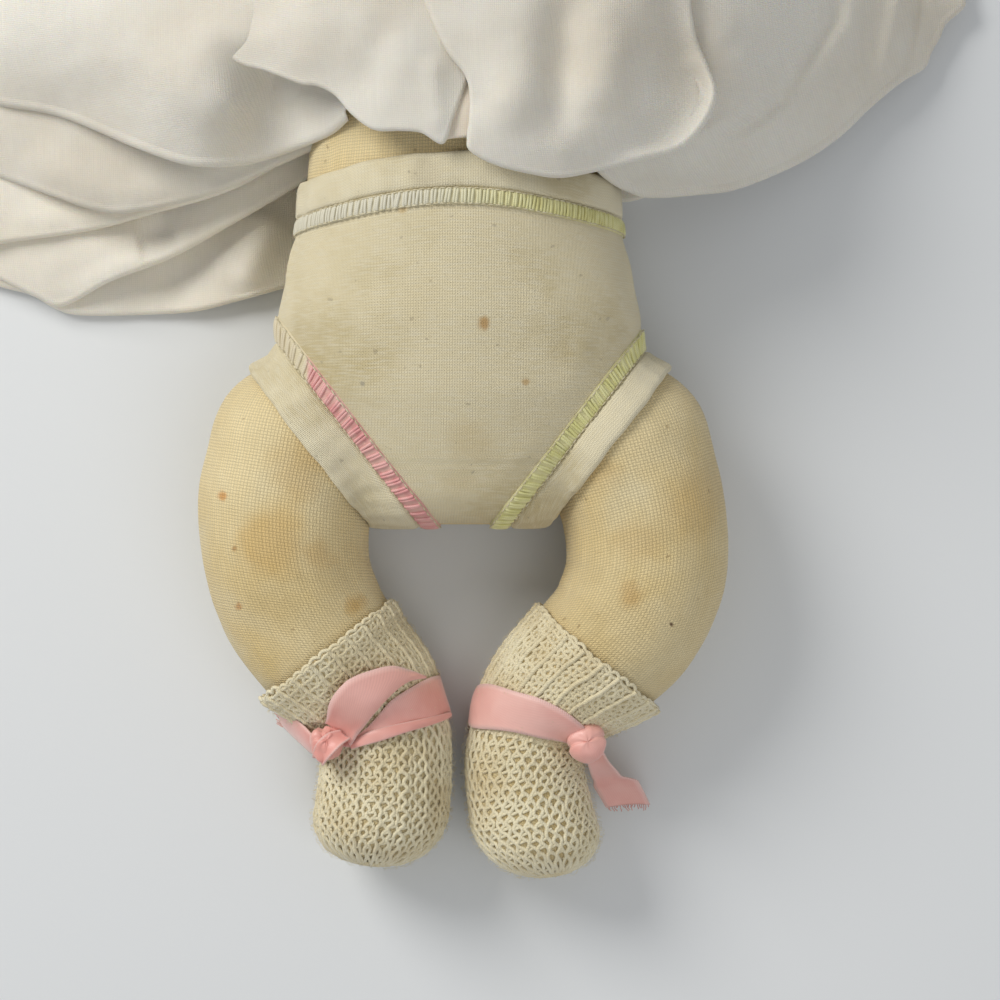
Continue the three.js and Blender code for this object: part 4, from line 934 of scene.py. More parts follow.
class Sock:
    """A knitted sock, part by part; its strands share one row of random draws."""

    def __init__(self, side, sign):
        self.side, self.leg = side, legs[side]
        self.top, self.tie = SOCK_TOP[side] * self.leg.length, RIBBON_AT[side] * self.leg.length
        self.tip = self.leg.length + TOE
        self.skin = Skin(self.leg, self.top - 4, self.tip, self.tie)
        self.random = np.random.default_rng(11 if sign > 0 else 12)
        self.phase = 0.13 * sign
        self.outer = 0 if sign > 0 else math.pi
        self.ground()
        self.cuff()
        self.foot(*FOOT_KNIT[side])
        self.fuzz()
        self.toe()

    def edge_of(self, turn):
        """Distance along the leg where the cuff begins: it reaches higher on the outer side."""
        return self.top - CUFF_RISE[self.side] * (0.5 + 0.5 * np.cos(turn - self.outer))

    def flare(self, place, turn):
        near = 1 - smoothstep(place - self.edge_of(turn), 0, 8)
        return CUFF_FLARE * near * (0.6 + 0.4 * np.cos(turn - self.outer))

    def add(self, piece, *nodes):
        dress(piece, self.side + "_leg", "sock_knit", *nodes)

    def ground(self):
        """The leg's muslin seen through the holes, just under the strands, a little darker as painted shade.
        """
        turn = turns(120)
        first = self.edge_of(turn) + 0.5
        rings = []
        for share in np.linspace(0, 1, 64):
            place = first + (self.tip - 1.2 - first) * share
            under = 0.2 * (1 - smoothstep(place, self.tie - 2, self.tie))
            rings.append(self.skin.at(place, turn, 0.45 + self.flare(place, turn) + under))
        self.add(grid_piece(self.side + "_sock_ground_shaded", np.array(rings), SOCK_GROUND_SHADED, closed=True))

    def rib_line(self, rib, k, step):
        """One strand along the cuff: a raised rib line, or one of the lines of loops between two ribs."""
        turn = (rib + k / RIB_STRANDS) / CUFF_RIBS * TURN + self.phase
        first = float(self.edge_of(turn)) + 0.35 + (0.5 if k else 0.0) + self.random.normal(0, 0.16)
        along = np.arange(first, self.tie + 1.5, 0.34)
        angle = turn + step * (0.12 * np.sin(along * 0.5 + rib * 1.7) + 0.06 * np.sin(along * 1.3 + k))
        if k == 0:
            height = 1.02 + 0.1 * np.cos(TURN * along / TUCK) + 0.08 * np.sin(along * 0.6 + rib)
        else:
            loop = TURN * (along - self.top) / TUCK
            angle = angle + step * 0.24 * np.cos(loop + math.pi * (k % 2) + 0.6 * rib)
            height = 0.72 + 0.1 * np.cos(2 * loop + rib) + 0.05 * np.sin(along * 1.9 + k + rib)
        path = self.skin.at(along, angle, height + self.flare(along, angle))
        return path, (0.5 if k else 0.56) + self.random.normal(0, 0.02)

    def cuff(self):
        """Raised rib lines, lines of loops between them, courses across them, and a scalloped edge."""
        strands = []
        step = TURN / (CUFF_RIBS * RIB_STRANDS)
        for rib in range(CUFF_RIBS):
            strands += [self.rib_line(rib, k, step) for k in range(RIB_STRANDS)]
            t = np.linspace(0.02, 1.0, 9)
            turn = (rib + t) / CUFF_RIBS * TURN + self.phase
            for row in range(int((self.tie + 0.6 - self.top + CUFF_RISE[self.side]) / TUCK)):
                place = float(self.edge_of(turn[4])) + 0.7 + row * TUCK + self.random.normal(0, 0.1)
                if place > self.tie + 0.8:
                    break
                sag = 0.3 * np.sin(math.pi * t) + 0.12 * np.sin(5 * math.pi * t + rib)
                high = 0.74 + 0.1 * np.sin(math.pi * t) + self.flare(place, turn)
                strands.append((self.skin.at(place + sag, turn, high), 0.4))
            t = np.linspace(-0.12, 1.12, 17)
            turn = (rib + t) / CUFF_RIBS * TURN + self.phase
            bow = 0.7 * np.abs(np.sin(TURN * np.clip(t, 0, 1))) ** 0.8 + 0.25 * np.sin(rib * 2.3)
            place = self.edge_of(turn) + 0.6 - bow + self.random.normal(0, 0.1)
            high = 0.7 + 0.12 * np.cos(2 * TURN * t) + self.flare(self.top - 2, turn)
            strands.append((self.skin.at(place, turn, high), 0.42))
        self.add(tubes(self.side + "_sock_cuff", *zip(*strands), YARN, flat=0.85))

    def foot(self, count, cell, sway, size):
        """Strands that meet their neighbours by turns and leave round holes, joined by short courses."""
        strands = []
        along = np.arange(self.tie - 1.5, self.tip - 0.25, 0.3)
        step = TURN / count
        twist = SOCK_TWIST[self.side] / 100
        near_tip = smoothstep(along, self.leg.length + TOE * 0.3, self.tip - 0.5)
        for k in range(count):
            bend = np.cos(TURN * (along - self.tie) / cell + math.pi * (k % 2) + 0.5 * math.sin(k * 0.4))
            wave = np.sign(bend) * np.abs(bend) ** 0.7
            wander = 0.16 * np.sin(along * 0.9 + k * 2.7) + 0.1 * np.sin(along * 2.3 + k * 1.1)
            angle = (k + wander) * step + self.phase + twist * (along - self.tie)
            angle = angle + step * sway * wave * (1 - near_tip * 0.4)
            wale = 0.2 if self.side == "right" and k % 4 == 0 else 0.0
            height = 0.66 + 0.14 * np.abs(bend) + wale + 0.06 * np.sin(along * 1.7 + k * 2.1)
            radius = size + 0.25 * wale + self.random.normal(0, 0.025)
            strands.append((self.skin.at(along, angle, height), radius))
            if k % 2:
                continue
            for joint, place in enumerate(np.arange(along[0] + cell / 4, self.tip - 1.0, cell / 2)):
                t = np.linspace(-1, 1, 7)
                shift = step * (0.5 if joint % 2 else -0.5)
                turn = k * step + self.phase + twist * (place - self.tie) + shift + step * 0.62 * t
                place = place + 0.25 * t + self.random.normal(0, 0.1)
                strands.append((self.skin.at(place, turn, 0.78 - 0.2 * t * t), 0.36))
        self.add(tubes(self.side + "_sock_foot", *zip(*strands), YARN, flat=0.85), self.side + "_sock")

    def fuzz(self):
        """Short loose fibres standing off the yarn."""
        hairs = []
        t = np.linspace(0, 1, 4)
        for _ in range(FUZZ_COUNT):
            place, turn = self.random.uniform(self.top + 0.5, self.tip - 1.0), self.random.uniform(0, TURN)
            lean, drift = self.random.normal(0, 0.06), self.random.normal(0, 0.7)
            high = 0.9 + (0.9 + self.random.uniform(0, 0.6)) * np.sin(t * math.pi * 0.7)
            hairs.append(self.skin.at(place + drift * t, turn + lean * t, high + self.flare(place, turn)))
        self.add(tubes(self.side + "_sock_fuzz", hairs, 0.05, YARN, sides=3, taper=2))

    def toe(self):
        """The last courses drawn together."""
        turn = turns(72)
        rings = []
        for back, high in ((1.2, 0.9), (0.5, 1.0)):
            rings.append(looped(self.skin.at(self.tip - back + 0.15 * np.sin(turn * 9), turn, high), 1))
        self.add(tubes(self.side + "_sock_toe", rings, 0.5, YARN, sides=5))


skins = {side: Sock(side, sign).skin for side, sign in SIDES.items()}

# Satin ribbon: its half width, the shares of the way from edge to edge, and its materials
RIBBON_HALF = 4.4
ACROSS = np.linspace(-1, 1, 9)
SATIN = satin_material("ribbon_satin")
SATIN_THREAD = thread_material("satin_thread", (236, 180, 168), (220, 150, 140))


def ribbon(name, side, grid, thick, *nodes):
    piece = grid_piece(name, grid, SATIN, thick=thick)
    paint(piece, "edge", np.tile(smoothstep(np.abs(ACROSS), 0.72, 0.98), len(grid)))
    dress(piece, side + "_leg", "ribbon", *nodes)


def strip(name, side, middles, ways, widths, curl, *nodes):
    """A flat ribbon along middles, with the direction across it and its width at each."""
    ways = unit(np.asarray(ways, float))
    over = np.cross(unit(np.gradient(middles, axis=0)), ways)
    grid = (middles[:, None] + ways[:, None] * (ACROSS[None, :, None] * widths[:, None, None] / 2)
            + over[:, None] * (curl * (ACROSS ** 2 - 0.33))[None, :, None])
    ribbon(name, side, grid, 0.35, *nodes)


def knot(side, centre, axes, wraps, seed, crumpled):
    """A small tied knot: a crumpled core with folded loops of ribbon drawn round it."""
    uu, vv = np.meshgrid(turns(48), np.linspace(0.04, math.pi - 0.04, 26))
    waves = (0.06 * np.sin(uu * 3 + seed + 2 * vv) + 0.07 * np.sin(vv * 6 + seed) * np.cos(uu * 2)
             + 0.035 * np.sin(uu * 7 - vv * 5))
    size = 1 + crumpled * waves
    for turn, tip, deep in wraps:
        gap = np.mod(uu - turn + tip * (vv - 1.5) + math.pi, TURN) - math.pi
        size = size - deep * np.exp(-(gap / 0.16) ** 2)
    local = np.stack([np.sin(vv) * np.cos(uu), np.sin(vv) * np.sin(uu), np.cos(vv)], 2) * size[..., None]
    piece = grid_piece(side + "_ribbon_tie", centre + local @ np.array(axes), SATIN, closed=True, ends=True)
    paint(piece, "edge", np.zeros(size.size + 2))
    dress(piece, side + "_leg", "ribbon", side + "_ribbon_knot")


def frayed_end(side, end, half, direction, count, seed):
    """Loose warp threads at a cut end; half reaches from its middle to a corner."""
    local = np.random.default_rng(seed)
    direction = np.array(direction)
    paths = []
    for k in range(count):
        start = end + half * ((2 * k + 1) / count - 1)
        reach = local.uniform(0.6, 1.9)
        bend = unit(half) * local.normal(0, 0.45)
        middle, tip = start + direction * reach * 0.5 + bend * 0.3, start + direction * reach + bend
        paths.append([start - direction * 0.3, middle, tip])
    dress(tubes(side + "_ribbon_fray", paths, 0.11, SATIN_THREAD, sides=4), side + "_leg", "ribbon")


def on_skin(skin, spot):
    """Distance along the leg and angle round it of the point seen at a pixel of the photograph."""
    z = 30.0
    for _ in range(4):
        seen = at_pixel(*spot, z)
        place = int(np.argmin(((seen - skin.centres[:, :2]) ** 2).sum(1)))
        centre = skin.centres[place]
        tangent = skin.leg.at(skin.stations[place] / skin.leg.length)[1]
        radius = np.linalg.norm(skin.rings[place] - centre, axis=1).mean() + 2.0
        off = np.clip((seen - centre[:2]) @ aside(tangent)[:2] / radius, -1, 1)
        z = centre[2] + radius * math.sqrt(1 - off * off)
    return skin.stations[place] + (seen - centre[:2]) @ tangent[:2], math.acos(off)


def seen_band(name, upper, lower, height, rise=0.0, curl=0.22, around=False):
    """A ribbon whose two edges run through pixels; one that goes around goes on behind the ankle."""
    side = name.split("_")[0]
    skin = skins[side]
    edges = [smooth_path([on_skin(skin, spot) for spot in spots], 90) for spots in (upper, lower)]
    if around:
        way = np.sign(edges[0][-1, 1] - edges[0][0, 1])
        back = np.linspace(0, 1, 62)[1:-1, None]
        for k, level in enumerate((skin.tie - RIBBON_HALF, skin.tie + RIBBON_HALF)):
            first, last = edges[k][0] + [0, way * TURN], edges[k][-1]
            behind = last + (first - last) * back
            leaves, meets = np.maximum(0, 1 - 5 * back[:, 0]), np.maximum(0, 5 * back[:, 0] - 4)
            behind[:, 0] = level + (last[0] - level) * leaves + (first[0] - level) * meets
            edges[k] = np.concatenate([edges[k], behind, first[None]])
    high = height + rise * np.sin(math.pi * np.linspace(0, 1, len(edges[0])))
    grid = []
    for x in ACROSS:
        mixed = edges[0] * (1 - x) / 2 + edges[1] * (1 + x) / 2
        grid.append(skin.at(*mixed.T, high - curl * x * x + 0.1 * np.sin(mixed[:, 1] * 9 + x * 2)))
    ribbon(name, side, np.stack(grid, 1), 0.3, *([side + "_ribbon_band"] if around else []))


# Stretches of ribbon: pixels along the upper and the lower edge, and heights over the skin in millimetres
RIBBONS = {
    "left_ribbon": dict(
        upper=[(462, 685), (478, 686), (512, 690), (541, 699), (566, 712), (584, 726)],
        lower=[(462, 716), (473, 728), (512, 732), (541, 738), (566, 743), (582, 748)],
        height=2.2, around=True),
    "right_ribbon": dict(
        upper=[(352, 738), (363, 731), (375, 719), (389, 703), (401, 694), (417, 684), (430, 678),
               (443, 674)],
        lower=[(350, 747), (362, 744), (375, 741), (389, 736), (401, 732), (417, 727), (430, 723),
               (455, 717)],
        height=2.1, around=True),
    "right_ribbon_fold": dict(
        upper=[(352, 741), (366, 733), (380, 728), (401, 723), (425, 718), (449, 713)],
        lower=[(352, 749), (366, 745), (380, 741), (401, 734), (425, 727), (449, 719)],
        height=2.6, curl=0.3),
    "right_ribbon_over": dict(
        upper=[(326, 722), (331, 702), (342, 685), (353, 677), (371, 671), (390, 668), (405, 671),
               (422, 677)],
        lower=[(352, 746), (360, 734), (370, 719), (380, 706), (388, 697), (397, 689), (407, 682),
               (424, 679)],
        height=3.0, rise=1.2, curl=0.5),
}
for name, stretch in RIBBONS.items():
    seen_band(name, **stretch)

# Knots and tails, placed in millimetres
knot("left", np.array([29.0, -94.3, 26.4]), [[4.4, -0.9, 0.0], [1.1, 4.5, -0.4], [0.1, 0.4, 3.0]],
     [(0.5, 0.25, 0.1), (3.6, -0.3, 0.16)], 1.0, 0.35)
knot("right", np.array([-30.2, -94.2, 29.9]), [[3.4, -1.9, 0.4], [1.7, 3.4, -0.8], [0.2, 0.9, 2.7]],
     [(0.9, 0.8, 0.2), (2.3, 0.3, 0.22), (3.9, -0.7, 0.2), (5.3, 0.5, 0.16)], 2.4, 1.0)
share = np.linspace(0, 1, 40)
LEFT_TAIL = [(30.6, -97.0, 23.5), (32.0, -99.8, 20.0), (34.0, -103.4, 14.5), (36.2, -107.4, 8.8),
             (38.0, -111.0, 4.6)]
RIGHT_TAIL = [(-30.6, -96.8, 28.5), (-33.2, -95.4, 26.6), (-36.4, -93.2, 22.6), (-39.6, -91.0, 17.6),
              (-42.0, -89.4, 12.6)]
RIGHT_LOOP = [(-25.8, -92.2, 30.6), (-28.2, -93.2, 32.6), (-30.6, -95.6, 32.4), (-31.8, -98.0, 30.0)]
spread = smoothstep(share, 0.46, 0.6)
tail = smooth_path(LEFT_TAIL, 40)
tail[:, 0] += 1.3 * spread
strip("left_ribbon_end", "left", tail, np.column_stack([np.ones(40), 0.25 - 0.2 * share, 0.12 - 0.3 * share]),
      4.6 + 1.6 * smoothstep(share, 0.1, 0.45) + 4.0 * spread + 0.5 * share, 0.55, "left_ribbon_tail")
frayed_end("left", tail[-1], 5.1 * np.array([1, 0.05, -0.18]), [0.15, -0.9, -0.3], 20, 6)
strip("right_ribbon_loop", "right", smooth_path(RIGHT_LOOP, 22), np.tile([0.75, -0.55, 0.35], (22, 1)),
      3.2 + 1.4 * np.sin(np.linspace(0, math.pi, 22)), 0.7)
tail, way = smooth_path(RIGHT_TAIL, 40), np.array([-0.05, 0.7, 0.72])
strip("right_ribbon_end", "right", tail, np.tile(way, (40, 1)), 5.5 + 3.2 * smoothstep(share, 0.0, 0.35), 0.8,
      "right_ribbon_tail")
frayed_end("right", tail[-1], 4.1 * way, [-0.75, 0.35, -0.5], 16, 9)


# Gown: overlapping folds of one lawn skirt, laid out as the lens sees them
LAWN = lawn_material("lawn")
# Paler copy of the same lawn, with painted light against the shade of the folds lying over it
LAWN_PAINTED_LIGHT = lawn_material("lawn_painted_light", (248, 243, 232), (240, 232, 214))
LAWN_HEM = lawn_material("lawn_hem", (234, 224, 208), (222, 210, 192))
LAWN_THICK = 0.35
FOLD_LEAST_Z = 0.25
# The rolled edge of a fold: how far it reaches back under, and the angle round the roll, row by row
ROLL = [(2.6, 270), (1.2, 270), (0, 262), (0, 235), (0, 208), (0, 180), (0, 155), (0, 132), (0, 110)]


class Field:
    """Smooth height through given (px, py, z) places: a thin plate spline."""

    def __init__(self, places, stiff=0.002):
        places = np.asarray(places, float)
        self.nodes = places[:, :2] / 100
        count = len(places)
        system = np.zeros((count + 3, count + 3))
        system[:count, :count] = self.kernel(self.nodes) + stiff * np.eye(count)
        system[:count, count:] = np.insert(self.nodes, 0, 1, axis=1)
        system[count:, :count] = system[:count, count:].T
        self.weights = np.linalg.solve(system, np.append(places[:, 2], [0, 0, 0]))

    def kernel(self, at):
        gap = np.linalg.norm(at[:, None] - self.nodes[None], axis=2)
        return gap ** 2 * np.log(np.maximum(gap, 1e-9))

    def __call__(self, px, py):
        at = np.stack([np.ravel(px), np.ravel(py)], 1) / 100
        value = self.kernel(at) @ self.weights[:-3] + np.insert(at, 0, 1, axis=1) @ self.weights[-3:]
        return value.reshape(np.shape(px))


def line_distance(px, py, line):
    """Distance in millimetres from pixels to a polyline of pixels, and the share run along it."""
    best, share = np.full(np.shape(px), 1e9), np.zeros(np.shape(px))
    line = np.asarray(line, float)
    run = lengths(line)
    for k in range(len(line) - 1):
        a, d = line[k], line[k + 1] - line[k]
        t = np.clip(((px - a[0]) * d[0] + (py - a[1]) * d[1]) / (d @ d), 0, 1)
        gap = np.hypot(px - a[0] - t * d[0], py - a[1] - t * d[1])
        share = np.where(gap < best, (run[k] + t * (run[k + 1] - run[k])) / run[-1], share)
        best = np.minimum(best, gap)
    return best * PIXEL, share


def fold_height(px, py, places, ridges, crumple, seed):
    z = Field(places)(px, py)
    for line, high, wide in ridges:
        gap, share = line_distance(px, py, line)
        fade = smoothstep(share, -0.02, 0.25) * smoothstep(-share, -1.02, -0.75)
        z = z + high * fade * np.exp(-((gap / wide) ** 2))
    spread = np.stack([np.ravel(px) * PIXEL, np.ravel(py) * PIXEL, np.zeros(px.size)], 1)
    uneven = lumps(spread, 13.0, seed) * crumple + lumps(spread, 5.5, seed + 4) * crumple * 0.3
    return z + uneven.reshape(px.shape)


def slope_down(body, reach, run, way, seed):
    """Let one end of a fold slope down to the table, with an uneven edge that is set in by its layer."""
    layer = min(seed, 5.0)
    y = body[..., 1]
    uneven = 1.3 * layer + 1.8 * np.sin(y * 0.31 + 2 * seed) + 0.7 * np.sin(y * 0.83 + seed)
    low = 0.5 + 0.7 * layer
    share = np.sqrt(smoothstep(run + 1.6 * np.sin(y * 0.23 + seed), -2, reach))
    body[..., 2] = low + (body[..., 2] - low) * share
    body[..., 0] += way * (1 - smoothstep(run, 0, 22)) * uneven


def tucked_rows(row, tuck, seed):
    """Rows that turn a fold's upper end down to what lies under it: the yoke, or the table at the sides."""
    x, z = row[:, 0], row[:, 2]
    half, back, front = torso_sections(np.minimum(row[:, 1] + 3, 98))
    share = np.clip(np.abs(x) / half, 0, 1)
    skin = (front + back) / 2 + (front - back) / 2 * np.sqrt(1 - share ** 2) + 1.0
    under = np.minimum(np.where(np.abs(x) < half, skin, 1.0), z)
    turned = []
    for bend in np.linspace(0, 1, 12)[1:]:
        a = bend * math.pi / 2
        ahead = tuck * math.sin(a) * (1 + 0.35 * np.sin(x * 0.13 + seed))
        ahead = ahead + bend * (0.5 * np.sin(x * 0.41 + 2 * seed) + 0.15 * np.sin(x * 0.9))
        turned.append(np.stack([x, row[:, 1] + ahead, under + (z - under) * math.cos(a)], 1))
    return np.array(turned)


def cloth(name, lower, upper, places, seed, ridges=(), roll=1.4, columns=150, rows=70, material=LAWN,
          nodes=(), crumple=0.5, tuck=0.0, ends=(0, 0)):
    """A fold of the skirt: its rolled lower edge and where it runs up to, as pixels from left to right."""
    low, high = smooth_path(lower, columns), smooth_path(upper, columns)
    tangent = unit(np.gradient(low, axis=0))
    inward = unit(np.stack([tangent[:, 1], -tangent[:, 0]], 1) + 0.35 * unit(high - low, 1e-6))
    share = (np.linspace(0, 1, rows) ** 1.25)[:, None, None]
    main = (low + inward * roll / PIXEL)[None] * (1 - share) + high[None] * share
    px, py = main[..., 0], main[..., 1]
    z = fold_height(px, py, places, ridges, crumple, seed)
    body = np.stack([*at_pixel(px, py, z), z], 2)
    x = body[..., 0].copy()
    for reach, run, way in ((ends[0], x - x[:, :1], 1), (ends[1], x[:, -1:] - x, -1)):
        if reach:
            slope_down(body, reach, run, way, seed)
    edge_row = body[0]
    if tuck:
        body = np.concatenate([body, tucked_rows(body[-1], tuck, seed)])
    step = np.stack([inward[:, 0], -inward[:, 1], inward[:, 0] * 0], 1)
    edge = []
    for reach, turn in ROLL:
        a = math.radians(turn)
        edge.append(edge_row + step * (reach + roll * math.cos(a)) + UP * roll * (math.sin(a) - 1))
    grid = np.concatenate([np.array(edge), body])
    grid[..., 2] = np.maximum(grid[..., 2], FOLD_LEAST_Z)
    corners = grid_corners(grid[..., 0] + 0.4 * grid[..., 2], grid[..., 1] + 0.4 * grid[..., 2])
    piece = link(name, make_mesh(name, grid.reshape(-1, 3), grid_faces(*grid.shape[:2]), corners), material)
    thicken(piece, LAWN_THICK, -1)
    dress(piece, "torso", "lawn", *nodes)


